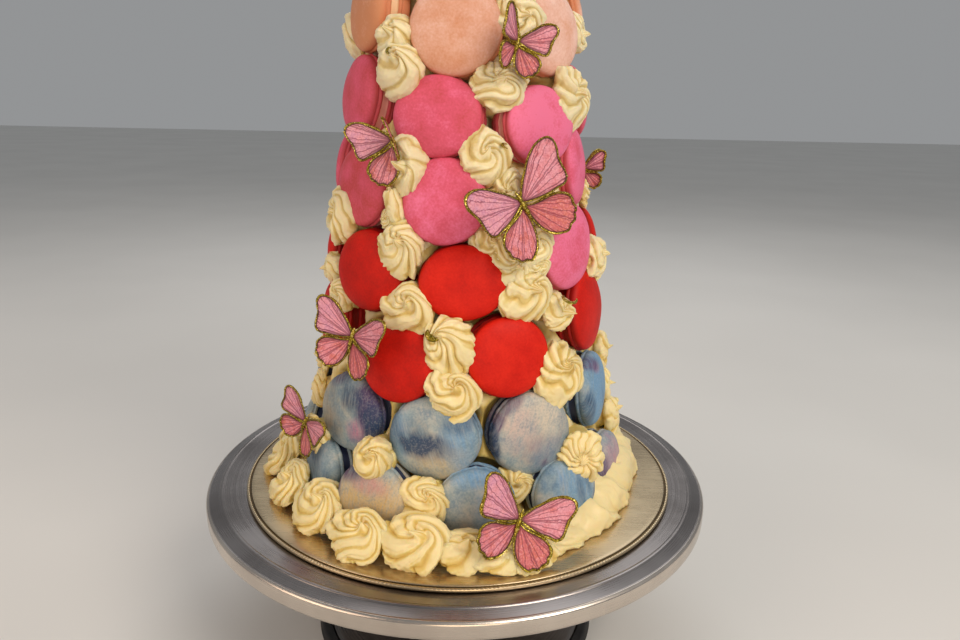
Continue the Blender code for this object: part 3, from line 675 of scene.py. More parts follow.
def macaronPart(place, axes, size, seed, fit, plain):
    # the profile turned about the outward axis: the radius wavers by a few low harmonics,
    # the frill by fine noise, and the domes carry faint lumps
    rng = np.random.default_rng(seed)
    profile = macaronProfile(shell["plainRings" if plain else "domeRings"])
    around = shell["plainAround" if plain else "around"]
    angle = np.linspace(0, 2 * math.pi, around, endpoint=False)
    waver = sum(
        rng.normal(0, shell["uneven"] / k) * np.cos(k * angle + rng.uniform(0, 6.28))
        for k in range(2, 6))
    radius = macaron["radius"] * size
    share, z, frill, filling = (column[:, None] for column in profile.T)
    across = radius * share * (1 + waver * np.clip(share, 0, 1))
    spot = np.stack(np.broadcast_arrays(
        np.cos(angle) * radius, np.sin(angle) * radius, z * 1.0), -1)
    wrinkle = softNoise(spot * (1, 1, 0.5), 2.4, seed) + 0.6 * softNoise(spot, 1.3, seed + 1)
    across = across + frill * shell["ruffle"] * wrinkle + frill * 0.25
    x = np.cos(angle) * across * macaron["wide"] * fit.get("wide", 1)
    y = np.sin(angle) * across * macaron["tall"] * fit.get("tall", 1)
    local = np.stack((x, y, z + 0 * x), -1)
    lump = softNoise(local, 11, seed + 2) * 0.3 + softNoise(local, 4, seed + 3) * 0.06
    tilt = rng.normal(0, 0.012, 2)
    raised = z > shell["front"]  # the front half, in millimetres from the back
    local[..., 2] += (lump + local[..., 0] * tilt[0] + local[..., 1] * tilt[1]) * raised
    local[..., 2] -= np.where(raised, 0.15, 0)
    for pitX, pitY, wide in fit.get("pits", ()):
        away = np.hypot(local[..., 0] - pitX, (local[..., 1] - pitY) * 0.7) / wide
        local[..., 2] -= 0.9 * np.exp(-away ** 2) * raised
    tone = np.full(local.shape[:2], rng.normal(0, 0.06))
    points = place + local @ axes
    shares = local / (radius, radius, macaron["thick"])
    band = (filling[1:, 0] + filling[:-1, 0]) / 2 > 0.4
    return skin(points, band=band, local=shares, tone=tone), shares, rng


# brushed paint on the marbled macarons in front: pigment, centre across and up, half
# width and half height in radii, turn in degrees, strength
brushwork = {
    (1, 1): (("sky", -.1, .1, .9, 1.0, 0, .6), ("navy", -.4, .1, .8, .9, 0, .85),
             ("sand", .5, -.6, .4, .4, 0, .3)),
    (1, 2): (("sand", .1, .0, 1.1, 1, 0, 1.0), ("ochre", .1, -.2, 1.2, 1.1, 0, .8),
             ("ochre", .1, -.8, 1.0, .6, 0, 1.0), ("plum", -.6, .7, .5, .3, 15, 1.0),
             ("rose", .0, .45, .6, .3, -10, .6), ("navy", -.35, .75, .3, .14, 0, .9),
             ("plum", -.98, .15, .12, .8, 0, .9)),
    (1, 3): (("sand", -.55, -.3, .6, .7, 0, .35), ("sky", .1, .8, .9, .3, 0, .9),
             ("sky", .85, .4, .3, .5, 0, 1.0), ("sky", .2, -.1, .4, .6, 0, .45),
             ("navy", .72, .62, .3, .1, -45, .7), ("sand", .25, .1, .12, .7, 8, .5)),
    (1, 4): (("sky", .2, .1, .9, 1.0, 0, .85), ("navy", .35, -.1, .15, .7, 8, .55),
             ("sand", -.2, .1, .14, .7, 6, .6), ("rose", -.35, -.6, .35, .3, 0, .45),
             ("navy", .6, .3, .12, .5, 14, .5),
             ("navy", -.6, -.8, .3, .25, 0, 1.0), ("plum", .95, -.3, .15, .4, 0, .7)),
    (1, 5): (("rose", 0, 0, 1, 1, 0, .6), ("sand", .2, -.3, .8, .5, 0, .6),
             ("plum", -.8, .1, .3, .7, 0, .9)),
    (2, 1): (("ochre", -.65, .1, .5, .8, 10, .3), ("navy", -.4, .0, .5, .8, 10, .4),
             ("navy", .2, .45, .5, .4, -30, .85), ("plum", .8, .3, .45, .8, 20, 1.5),
             ("navy", .85, -.1, .3, .8, 10, 1.1), ("rose", .45, -.3, .35, .3, 30, .9),
             ("plum", -.35, .85, .35, .2, 30, .8), ("navy", -.1, .9, .25, .25, 0, .8)),
    (2, 2): (("navy", -.3, -.08, .72, .36, -8, 1.0), ("navy", -.35, -.1, .55, .24, -8, 1.6),
             ("navy", -.45, .3, .45, .25, 0, .4), ("navy", -.95, .0, .18, .7, 0, .7),
             ("sky", -.8, .0, .3, .8, 0, .7), ("navy", .6, .45, .5, .28, -10, .7),
             ("sky", .65, .2, .5, .6, 0, .8), ("ochre", .1, -.3, .7, .35, 5, .4),
             ("sand", .1, -.3, .7, .3, 5, .5), ("ochre", .15, -.65, .8, .35, 0, .5),
             ("sand", -.1, .6, .4, .3, 0, .4), ("sky", .75, -.4, .35, .45, 0, .6)),
    (2, 3): (("sand", -.1, .4, 1.1, .8, 0, .95), ("rose", -.35, .2, .5, .6, 0, .25),
             ("sky", .5, -.5, .6, .5, -20, .3), ("plum", .2, -.4, .7, .5, -10, .42),
             ("navy", .85, .0, .25, .7, 0, .3), ("navy", -.99, .1, .1, .9, 4, 1.3),
             ("plum", -.88, .4, .14, .45, -25, 1.1), ("plum", -.55, .78, .5, .15, 38, .9),
             ("plum", .25, -.7, .18, .12, 30, .7)),
    (2, 4): (("sky", 0, 0, 1.1, 1.1, 0, 1.25), ("navy", -.85, -.3, .3, .6, 0, .9),
             ("plum", -.3, .75, .5, .2, -20, .9), ("rose", -.15, .62, .3, .15, -20, .6),
             ("sand", .1, .3, .3, .4, 0, .35), ("navy", .2, -.5, .12, .5, 10, .5)),
}


def paintLayers(shares, strokes, seed):
    # how much of each pigment a point carries: an oval fading out from each stroke's centre
    layers = {name: np.zeros(shares.shape[:2]) for name in pigments}
    x, y = shares[..., 0], shares[..., 1]
    blur = softNoise(shares, 0.28, seed) * 0.25
    for name, midX, midY, wide, high, turn, strength in strokes:
        angle = math.radians(turn)
        along = (x - midX) * math.cos(angle) + (y - midY) * math.sin(angle)
        aside = (y - midY) * math.cos(angle) - (x - midX) * math.sin(angle)
        away = np.hypot(along / wide, aside / high) + blur
        layers[name] = np.maximum(layers[name], strength * smooth(-away, -1.4, -0.4))
    return layers


def randomStrokes(rng):
    # brushwork for a macaron that the front doesn't show
    strokes = [(rng.choice(("sky", "sand")), 0, 0, 1.1, 1.1, 0, rng.uniform(.4, .9))]
    for name in rng.choice(("sky", "sand", "ochre", "rose", "plum", "navy"), 5):
        angle, out = rng.uniform(0, 6.28), rng.uniform(.3, 1)
        strokes.append((name, out * math.cos(angle), out * math.sin(angle),
                        rng.uniform(.15, .6), rng.uniform(.12, .4), rng.uniform(-90, 90),
                        rng.uniform(.5, .95)))
    return strokes


# how pale or deep some front macarons are: partly each one's own tone, partly painted shade
# on those to the left of the tower and painted light on those to the right
toneOf = {(7, 1): -.42, (7, 2): -.08, (7, 3): .14, (6, 1): -.16, (5, 1): -.25, (6, 3): .3,
          (4, 4): .22,
          (6, 2): -.07, (5, 2): .08, (4, 2): -.12, (3, 2): -.06, (3, 3): .14, (4, 3): .1,
          (5, 3): .2}


def makeMacarons():
    # each macaron stands on the cone at its turn and height, its front face on the cone;
    # the marbled ones carry their paint as point values
    for number, row in enumerate(rows, 1):
        for spot, (turn, height, size, out) in enumerate(ringOfMacarons(row), 1):
            seed = number * 100 + spot
            place, axes = onFace(turn, height, out + row.get("outset", 0) - macaron["thick"])
            fit = fits.get((number, spot), {})
            place = place + np.array((fit.get("aside", 0), fit.get("up", 0), 0)) @ axes
            middle = place + axes[2] * macaron["thick"] / 2
            axes = tipped(axes, fit.get("look", 0), 0)
            place = middle - axes[2] * macaron["thick"] / 2
            plain = number >= crownRow or abs(wrapped(turn)) > shell["plainFrom"]
            part, shares, rng = macaronPart(place, axes, size, seed, fit, plain)
            flavour = "pink" if (number, spot) == (4, 4) else row["flavour"]
            # the listed tones of the front macarons: partly their own, partly painted shade on the
            # left and painted light on the right
            if (number, spot) in toneOf:
                part["values"]["tone"][:] = toneOf[number, spot]
            if flavour == "marbled":
                strokes = brushwork.get((number, spot)) or randomStrokes(rng)
                layers = paintLayers(shares, strokes, seed)
                turned = math.pi / 2 + rng.uniform(-0.6, 0.6)
                along = shares[..., 0] * math.cos(turned) + shares[..., 1] * math.sin(turned)
                aside = shares[..., 1] * math.cos(turned) - shares[..., 0] * math.sin(turned)
                brushed = np.stack((along * 0.8, aside * 6, shares[..., 2] + seed), -1)
                brushed = brushed.reshape(-1, 3)
                part["values"]["brushed"] = np.vstack((brushed, brushed[:1], brushed[-1:]))
                for group, names in enumerate((("sand", "ochre", "sky"), ("rose", "plum", "navy"))):
                    stack = np.stack([layers[name] for name in names], -1).reshape(-1, 3)
                    ends = (stack[:1], stack[-shares.shape[1]:].mean(0)[None])
                    part["values"]["paint%d" % group] = np.vstack((stack, *ends))
            node = "macaron_%d_%d" % (number, spot)
            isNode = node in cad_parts
            setMesh(node + "_shells", [part], [shellFinish[flavour], fillingFinish[flavour]],
                    "turntable", [node] if isNode else ())
    print("baked the macarons")


piping = dict(around=160, rings=53, plainAround=96, plainRings=32, depth=0.17, step=0.13)
# the swirls' groups: heights that part high, middle and low, the turn past which the front
# can't see a swirl, how deep a stem goes, and the swirl on the very top
piles = dict(high=170, low=100, hidden=84, stem=12, topWidth=40, topRise=6, topStem=8.0)


def dollop(place, axes, width, seed, lobes=6, twist=3.8, eye=(0.1, 0.15), peak=0.2, high=0.5,
           start=210, rag=0.1, wide=1.0, tall=1.0, lean=(0, 0), crisp=0.15, corners=0.1,
           plain=False):
    # Cream pressed from a star nozzle and wound round once. The ridges start at the rim and
    # sweep round by the twist to an eye off the middle, where a hook is pulled; near the
    # start angle they leave the rim straight, as teeth. A ridge is broad with a narrow
    # furrow, has its own width and reach, and drag lines run along it. A step spirals in
    # where the end of the turn laps over its start, and the rim is pulled out into corners.
    rng = np.random.default_rng(seed)
    half = width / 2
    around = piping["plainAround" if plain else "around"]
    count = piping["plainRings" if plain else "rings"]
    angle = np.linspace(0, 2 * math.pi, around, endpoint=False)[None]
    sweep = np.linspace(-0.32, 0.995, count)[:, None] * math.pi / 2
    radius = np.cos(sweep) ** 0.8
    rise = np.sin(sweep)
    inward = 1 - np.where(rise > 0, radius, 1)
    rim = smooth(radius, 0.7, 1)
    near = (0.5 + 0.5 * np.cos(angle - math.radians(start))) ** 1.5
    outline = 1 + rag * np.cos(angle - math.radians(start))
    for _ in range(4):
        away = wrapped(np.degrees(angle) - rng.uniform(0, 360)) / rng.uniform(12, 26)
        outline = outline + rng.uniform(0, corners) * np.exp(-np.abs(away) ** 1.5) * rim
    drift = sum(
        rng.normal(0, 0.3 / k) * np.cos(k * angle + rng.uniform(0, 6.28)) for k in (1, 2, 3))
    flat = np.stack((np.cos(angle) * radius, np.sin(angle) * radius, 0 * angle + rise), -1)
    bend = twist * inward ** 0.9 * (1 - 0.55 * near) + 0.35 * softNoise(flat, 0.5, seed + 5)
    phase = (angle + drift - bend) * lobes / (2 * math.pi) + rng.uniform(0, 1)
    number = np.floor(phase)
    within = phase - number
    share = np.abs(2 * within ** 0.75 - 1)
    sharp = np.clip(crisp + 0.3 * softNoise(flat, 0.9, seed + 4), 0, 1)
    crest = sharp * (1 - share) ** 1.3 + (1 - sharp) * (1 - share ** 2.3)
    reaches = rng.normal(0, 0.07, lobes)[number.astype(int) % lobes]
    fade = 0.15 + 0.85 * smooth(radius, 0.08, 0.5)
    deep = piping["depth"] * (0.6 + 0.4 * rim * (0.3 + 0.7 * near))
    groove = np.sin(math.pi * within * 3 + 3 * softNoise(flat, 1.2, seed + 3)) ** 2 * 0.02
    groove = (groove + np.sin(math.pi * within * 6) ** 2 * 0.007) * fade
    saw = ((np.degrees(angle) - start) / 360 + 0.5 * inward + 0.04) % 1
    step = (saw - smooth(saw, 0.93, 1) - 0.4) * piping["step"] * smooth(radius, 0.15, 0.6)
    teeth = np.abs(np.sin(9 * angle + 4 * softNoise(flat, 0.7, seed + 2))) * 0.05 * rim * near
    push = deep * (crest - 0.7) * fade + reaches * crest * radius + groove + step + teeth
    across = radius * outline * (1 + 0.05 * softNoise(flat, 0.8, seed + 6))
    x = np.cos(angle) * (across + push * np.cos(sweep))
    y = np.sin(angle) * (across + push * np.cos(sweep))
    z = high * np.where(rise > 0, rise, 0.8 * rise) + push * np.abs(rise)
    z = (z + 0.06 * np.exp(-((radius - 0.58) / 0.2) ** 2)
         - 0.1 * np.exp(-((radius - 0.25) / 0.1) ** 2))
    tip = smooth(-np.where(rise > 0, radius, 1), -0.22, 0)
    pull = rng.normal(0, 0.12, 2)
    z = z + peak * tip
    x = x * wide + eye[0] * inward ** 1.2 + pull[0] * tip ** 2
    y = y * tall + eye[1] * inward ** 1.2 + pull[1] * tip ** 2
    local = np.stack((x, y, z + x * lean[0] + y * lean[1]), -1) * half
    warp = [softNoise(local, half * 0.75, seed + k) for k in (7, 8, 9)]
    local = local + np.stack(warp, -1) * half * (0.07, 0.07, 0.045)
    tear = softNoise(local, 1.5, seed + 10) * (0.12 + 0.3 * rim * (0.4 + 0.6 * near))
    tear = tear + softNoise(local, 0.7, seed + 11) * 0.09
    outward = np.stack((np.cos(angle) * np.cos(sweep), np.sin(angle) * np.cos(sweep),
                        rise + 0 * angle), -1)
    local = local + tear[..., None] * outward
    # the colour value paints light and shade: paler on crests, drag lines, torn bulges, the lapped
    # step and upward faces; darker in the furrows
    crest = 0.18 + 0.6 * crest + 5 * groove + 0.4 * tear + 0.1 * rise + 0.6 * step
    return skin(place + local @ axes, crest=crest)


def swirlStem(place, axes, width, seed, deep):
    # the cream below a swirl: a lumpy cone that widens down to the coat
    share = np.linspace(0, 1, 9)
    around = np.linspace(0, 2 * math.pi, 28, endpoint=False)
    radius = width / 2 * (1 - 0.3 * share)
    z = -deep + (deep - 1) * share
    local = np.stack((np.cos(around) * radius[:, None], np.sin(around) * radius[:, None],
                      z[:, None] + 0 * around), -1)
    lump = softNoise(local, 3.5, seed)
    local = local + lump[..., None] * (1.2, 1.2, 0)
    # painted light and shade: paler on the lumps, darker between them
    crest = 0.5 + 0.25 * lump
    return skin(place + local @ axes, crest=crest)


def tipped(axes, aside, up):
    # the axes turned to look aside (degrees to the right) and up
    right, over, outward = axes
    a, b = math.radians(aside), math.radians(up)
    turned = outward * math.cos(a) + right * math.sin(a)
    right = np.cross(over, turned)
    turned = turned * math.cos(b) + over * math.sin(b)
    return np.array((right, np.cross(turned, right), turned))


coat = dict(around=330, rise=180, crownAround=220, crownRise=120, bulge=14.0, mound=15.0)


def coatSurface(low, high, around, rise, heads, seed):
    # buttercream on the cone: thicker where the macarons leave room, heaped up under each
    # swirl, and dragged and pitted by the palette knife elsewhere
    turn = np.linspace(0, 360, around, endpoint=False)[None]
    height = np.linspace(low, high, rise)[:, None]
    turn, height = np.broadcast_arrays(turn, height)
    base = faceRadius(height) - macaron["thick"] / math.cos(slope) - tower["coreGap"]
    free = np.full(turn.shape, 30.0)
    for row in rows:
        for spotTurn, spotHeight, size, _ in ringOfMacarons(row):
            across = np.radians(wrapped(turn - spotTurn)) * base
            away = np.hypot(across, height - spotHeight) - size * macaron["radius"]
            free = np.minimum(free, away)
    thick = coat["bulge"] * smooth(free, -5, 2)
    for spotTurn, spotHeight, width, *_ in heads:
        across = np.radians(wrapped(turn - spotTurn)) * base
        away = np.hypot(across, height - spotHeight) / (width / 2)
        thick = np.maximum(thick, coat["mound"] * smooth(-away, -1.15, -0.45))
    angle = np.radians(turn)
    level = np.stack((np.sin(angle), -np.cos(angle), 0 * angle), -1)
    spot = level * base[..., None] + height[..., None] * (0, 0, 1)
    stroke = spot * (1, 1, 0.35) + softNoise(spot, 20, seed + 2)[..., None] * 5
    drag = softNoise(stroke, 6, seed) + 0.6 * softNoise(stroke, 2.2, seed + 1)
    drag = drag + 0.3 * softNoise(spot, 1.4, seed + 3)
    thick = thick + 1.5 * drag * smooth(free, -9, 2) + 0.4
    points = level * (base + thick)[..., None] + np.stack(
        (0 * turn + tower["x"], 0 * turn, stand["boardTop"] + height), -1)
    # painted shade darkens the coat close to the macarons; the knife's ridges are paler as painted
    # highlight
    crest = 0.55 + 0.28 * drag + 0.25 * smooth(free, 0, 6)
    return skin(points, crest=crest)


def borderAt(turn):
    # the ridge's outer radius and height at these turns
    turns, reaches, heights = zip(*borderForm)
    turn = wrapped(np.asarray(turn, float))
    return np.interp(turn, turns, reaches), np.interp(turn, turns, heights)


def ridgeSection():
    # (share of the way out, share of the height, share of the push) round the ridge: along
    # its flat underside, up the rounded outer face, over the top and down inside
    bend = np.linspace(0, math.pi / 2, 40)
    face = np.stack((0.4 + 0.6 * np.cos(bend) ** 0.75, np.sin(bend) ** 0.85, 0 * bend + 1), -1)
    under = np.array([(0.0, 0, 0), (0.3, 0, 0), (0.6, 0, 0), (0.85, 0, 0), (0.96, 0, 0.4)])
    return np.vstack((under, face, [(0.2, 1, 0.5), (0.0, 1, 0), (0.0, 0.5, 0)]))


def borderRidge():
    # the section carried round the foot; over the smeared stretch tongues of cream lap over
    # one another: a slow rise and a sudden drop along a slanting phase, with fine drag
    # lines along them and a torn lower edge
    around = 760
    turn = wrapped(np.linspace(0, 360, around, endpoint=False))[:, None]
    share, tall, weight = ridgeSection().T[:, None]
    start, full, last, end = border["smeared"]
    smeared = smooth(turn, start - 8, full) * smooth(-turn, -end, -last)
    outer, high = borderAt(turn)
    inner = tower["faceRadius"] - macaron["thick"] - border["root"]
    radius = inner + (outer - inner) * share
    z = 0.3 + (high - 0.3) * tall
    flat = np.radians(turn)
    spot = np.stack((np.sin(flat) * radius, -np.cos(flat) * radius, z + 0 * radius), -1)
    slide = turn / 17 + 0.75 * tall + 0.5 * softNoise(spot, 22, 5) + 0.1 * softNoise(spot, 7, 6)
    within = slide - np.floor(slide)
    lap = within ** 1.3 * smooth(-within, -1, -0.92)
    crease = 1 - np.abs(np.sin(math.pi * (slide * 3 + 0.8 * softNoise(spot, 14, 7)))) ** 8
    drag = softNoise(np.stack((slide * 7, tall + 0 * slide, 0 * slide), -1), 1, 8)
    push = (3.4 * lap + 0.5 * crease + 0.35 * drag) * smeared - 2.0 * smeared
    rough = 1 - 0.7 * smeared
    push = push + 1.1 * softNoise(spot, 9, 3) + rough * 0.45 * softNoise(spot, 3, 4)
    push = push + 0.12 * softNoise(spot, 1.1, 9)
    tear = (1.2 * softNoise(spot, 5, 11) + 0.8 * softNoise(spot, 2.2, 12)) * smooth(-tall, -0.3, 0)
    push = (push + tear) * weight
    lean = math.pi / 2 * tall
    radius = radius + push * np.cos(lean)
    z = np.maximum(z + push * np.sin(lean), 0.3 + 0 * push)
    points = np.stack((np.sin(flat) * radius + tower["x"], -np.cos(flat) * radius,
                       z + stand["boardTop"]), -1)
    # painted light and shade: paler on the tongues, creases and top of the ridge, darker between
    # the tongues
    crest = 0.55 + (0.2 * lap + 0.18 * crease + 0.1 * drag + 0.08) * smeared + 0.1 * tall
    return skin(points, loop=True, crest=crest + 0.06 * softNoise(spot, 4, 13))


def borderPlace(turn, width):
    # a border rosette is tipped up from the board
    half = width / 2
    tip = math.radians(border["tip"])
    angle = math.radians(turn)
    level = np.array((math.sin(angle), -math.cos(angle), 0))
    across = np.array((math.cos(angle), math.sin(angle), 0))
    outward = level * math.cos(tip) + np.array((0, 0, math.sin(tip)))
    reach = float(borderAt(turn)[0]) + border["proud"]
    lift = stand["boardTop"] + tower["coreGap"] + half * math.cos(tip)
    place = level * reach + (tower["x"], 0, lift)
    return place, np.array((across, np.cross(outward, across), outward))


# how some front swirls differ from the usual one; look is degrees aside and up
ways = {
    (-32, 245): dict(high=.9, twist=2, lobes=5, peak=.5, corners=.04),
    (-28, 230): dict(lobes=4, twist=4.4, eye=(.1, .4), peak=.3, high=.85, start=190),
    (17, 224): dict(lobes=8, twist=2.6, eye=(-.1, .25), rag=.12, start=200, high=.45, wide=.95,
                    tall=.76, crisp=.6, corners=.28),
    (60, 217): dict(lobes=10, twist=2.2, eye=(0, .3), crisp=.7, corners=.2),
    (10.6, 191): dict(lobes=5, twist=4.4, eye=(-.12, .1), start=185, rag=.06, corners=.16,
                      peak=.1, high=.42, wide=.84, tall=.94),
    (-22, 187): dict(lobes=6, twist=1.6, high=.8, peak=.6, tall=1.2, wide=.8),
    (20, 178): dict(lobes=6, twist=2.2, wide=.8, crisp=.5),
    (-62, 157): dict(lobes=7, twist=3, eye=(.1, .2), crisp=.4),
    (-26, 163): dict(lobes=5, twist=2.4, high=1.7, peak=.9, wide=.55, tall=.6, look=(-10, 55),
                     eye=(0, .1)),
    (-23, 146): dict(lobes=8, twist=2.4, eye=(.05, .4), start=200, rag=.16, peak=.35,
                     corners=.2, crisp=.3),
    (28, 126): dict(lobes=7, twist=3, eye=(.1, .25), start=225, rag=.16, corners=.16, crisp=.3),
    (-19, 119): dict(lobes=5, twist=4.6, eye=(.1, .2), start=240, rag=.06, peak=.3),
    (-4, 102): dict(lobes=8, twist=2.6, eye=(-.4, .35), start=330, rag=.12, peak=.1,
                    corners=.14),
    (42, 114): dict(lobes=6, twist=2.4, rag=.15, peak=.4, crisp=.4, corners=.16),
    (41, 82): dict(lobes=9, twist=2.4, eye=(0, .3), tall=1.15, rag=.12, crisp=.6, corners=.2),
    (-1, 77): dict(lobes=6, twist=4.4, eye=(.12, .3), start=215, rag=.08, peak=.2, high=.45),
    (-26.5, 39): dict(lobes=5, twist=3.8, eye=(.05, .55), start=150, peak=.55, high=.8,
                      look=(14, 4), corners=.04, wide=.8, tall=.86),
    (43, 37): dict(lobes=12, twist=.8, eye=(-.05, -.15), high=.36, peak=0, rag=.02, wide=.86,
                   tall=1.02, look=(-28, 2), crisp=0, corners=.02, start=280),
    (-9, 23): dict(lobes=6, twist=4.4, eye=(.2, .25), start=215, rag=.1, high=.5,
                   corners=.06),
}


def usualWay(rng):
    # a swirl's settings drawn evenly within the range that the piped ones show
    angle, out = rng.uniform(0, 6.28), rng.uniform(0.05, 0.3)
    return dict(lobes=int(rng.integers(5, 8)), twist=rng.uniform(2.4, 4.2),
                eye=(out * math.cos(angle), out * math.sin(angle)), peak=rng.uniform(.1, .45),
                high=rng.uniform(.45, .62), start=rng.uniform(150, 280), rag=rng.uniform(.05, .16),
                crisp=rng.uniform(.05, .5), corners=rng.uniform(.06, .2),
                wide=rng.uniform(.94, 1.04), tall=rng.uniform(.94, 1.04),
                lean=rng.normal(0, .06, 2))


# dabs where the coat shows between the macarons: turn, height, width, distance out
dabs = ((14, 150, 15, -6), (20, 144, 17, -3), (26, 149, 13, -3), (31, 140, 13, -2),
        (9, 150, 10, -7), (-31, 160, 9, -4), (26, 236, 12, -4), (-8, 350, 15, 3),
        (-36, 98, 12, 4.5), (-58, 42, 12, 5), (96, 180, 13, -7), (21, 168, 14, 0.5),
        (22, 26, 21, -9))


def makeSwirls():
    # every swirl is a dollop on the cone over a stem that reaches down into the coat
    groups = {name: [] for name in ("high", "left", "right", "low", "rear", "crown")}
    for number, (turn, height, width, *out) in enumerate((*swirls, *rearSwirls, *crownSwirls)):
        seed = 900 + number
        way = usualWay(np.random.default_rng(seed)) | ways.get((turn, height), {})
        out = sum(out)
        place, axes = onFace(turn, height, out - swirlSink)
        axes = tipped(axes, *way.pop("look", (0, 0)))
        if number >= len(swirls) + len(rearSwirls):
            group = "crown"
        elif number >= len(swirls):
            group = "rear"
        else:
            side = "left" if turn < 0 else "right"
            group = "high" if height > piles["high"] else side if height > piles["low"] else "low"
        hidden = group in ("rear", "crown") or abs(turn) > piles["hidden"]
        groups[group] += [dollop(place, axes, width, seed, plain=hidden, **way),
                          swirlStem(place, axes, width, seed + 50, piles["stem"] + out)]
    small = [(turn, height, gaps["small"]["width"], gaps["small"]["out"])
             for turn, height, _ in smallSwirls]
    for number, (turn, height, width, out) in enumerate((*dabs, *small)):
        way = usualWay(np.random.default_rng(1400 + number)) | dict(crisp=.6, corners=.25, lobes=8)
        place, axes = onFace(turn, height, out)
        side = "left" if turn < 0 else "right"
        group = "rear" if turn > 100 else "high" if height > piles["high"] else side
        groups[group] += [dollop(place, axes, width, 1400 + number, plain=True, **way),
                          swirlStem(place, axes, width, 1450 + number, piles["stem"] + out)]
    place = np.array((tower["x"], 0, stand["boardTop"] + tower["coreTop"] + piles["topRise"]))
    width = piles["topWidth"]
    groups["crown"] += [dollop(place, np.eye(3), width, 1999, high=.5, peak=.16, twist=3),
                        swirlStem(place, np.eye(3), width, 1998, piles["topStem"])]
    for group, parts in groups.items():
        setMesh("swirls_" + group, parts, [cream], "turntable")
    step = (borderRear["last"] - borderRear["first"]) / (borderRear["count"] - 1)
    rear = [(borderRear["first"] + step * i, borderRear["width"])
            for i in range(borderRear["count"])]
    parts = []
    for number, (turn, width) in enumerate((*borderFront, *rear)):
        rng = np.random.default_rng(1200 + number)
        small = turn > 0 and width < 25
        parts.append(dollop(
            *borderPlace(turn, width), width, 1200 + number, plain=abs(turn) > 100,
            lobes=int(rng.integers(4, 6) if small else rng.integers(5, 8)),
            twist=rng.uniform(1.2, 2) if small else rng.uniform(3.4, 4.6),
            eye=(rng.uniform(0, .2), rng.uniform(.15, .35)), start=rng.uniform(180, 230), rag=.1,
            high=.36 if small else .45, peak=rng.uniform(.1, .35), wide=1.3 if small else 1.12,
            tall=.9 if small else 1, crisp=rng.uniform(.2, .5), corners=.24 if small else .14))
    setMesh("border_rosettes", parts, [cream], "turntable")
    setMesh("border_ridge", [borderRidge()], [cream], "turntable")
    print("piped the swirls and the border")


def makeCoats():
    # the coat in two lengths, as the solids are: below the crown and of the crown
    split = tower["crownStart"]
    low = coatSurface(0.4, split, coat["around"], coat["rise"], (*swirls, *rearSwirls), 31)
    setMesh("buttercream_coat", [low], [cream], "turntable", ["buttercream"])
    high = coatSurface(split, tower["coreTop"], coat["crownAround"], coat["crownRise"],
                       crownSwirls, 37)
    setMesh("crown_coat", [high], [cream], "turntable", ["crown"])
    print("coated the cone")


def filleted(corners, steps=5):
    # a profile of (radius, height, fillet) corners with each corner rounded by a short curve
    corners = np.asarray(corners, float)
    points = []
    for number, (r, z, fillet) in enumerate(corners):
        here = np.array((r, z))
        if fillet == 0 or number in (0, len(corners) - 1):
            points.append(here[None])
            continue
        before = corners[number - 1, :2] - here
        after = corners[number + 1, :2] - here
        start = here + before / np.linalg.norm(before) * fillet
        end = here + after / np.linalg.norm(after) * fillet
        t = np.linspace(0, 1, steps)[:, None]
        points.append(start * (1 - t) ** 2 + 2 * here * t * (1 - t) + end * t ** 2)
    return np.vstack(points)


def turned(profile, around, centre=(0, 0), loop=False, band=None):
    # the profile of (radius, height) points spun about the vertical
    angle = np.linspace(0, 2 * math.pi, around, endpoint=False)
    radius, z = profile[:, :1], profile[:, 1:2]
    points = np.stack(np.broadcast_arrays(
        radius * np.cos(angle) + centre[0], radius * np.sin(angle) + centre[1], z), -1)
    return skin(points, loop=loop, band=band)


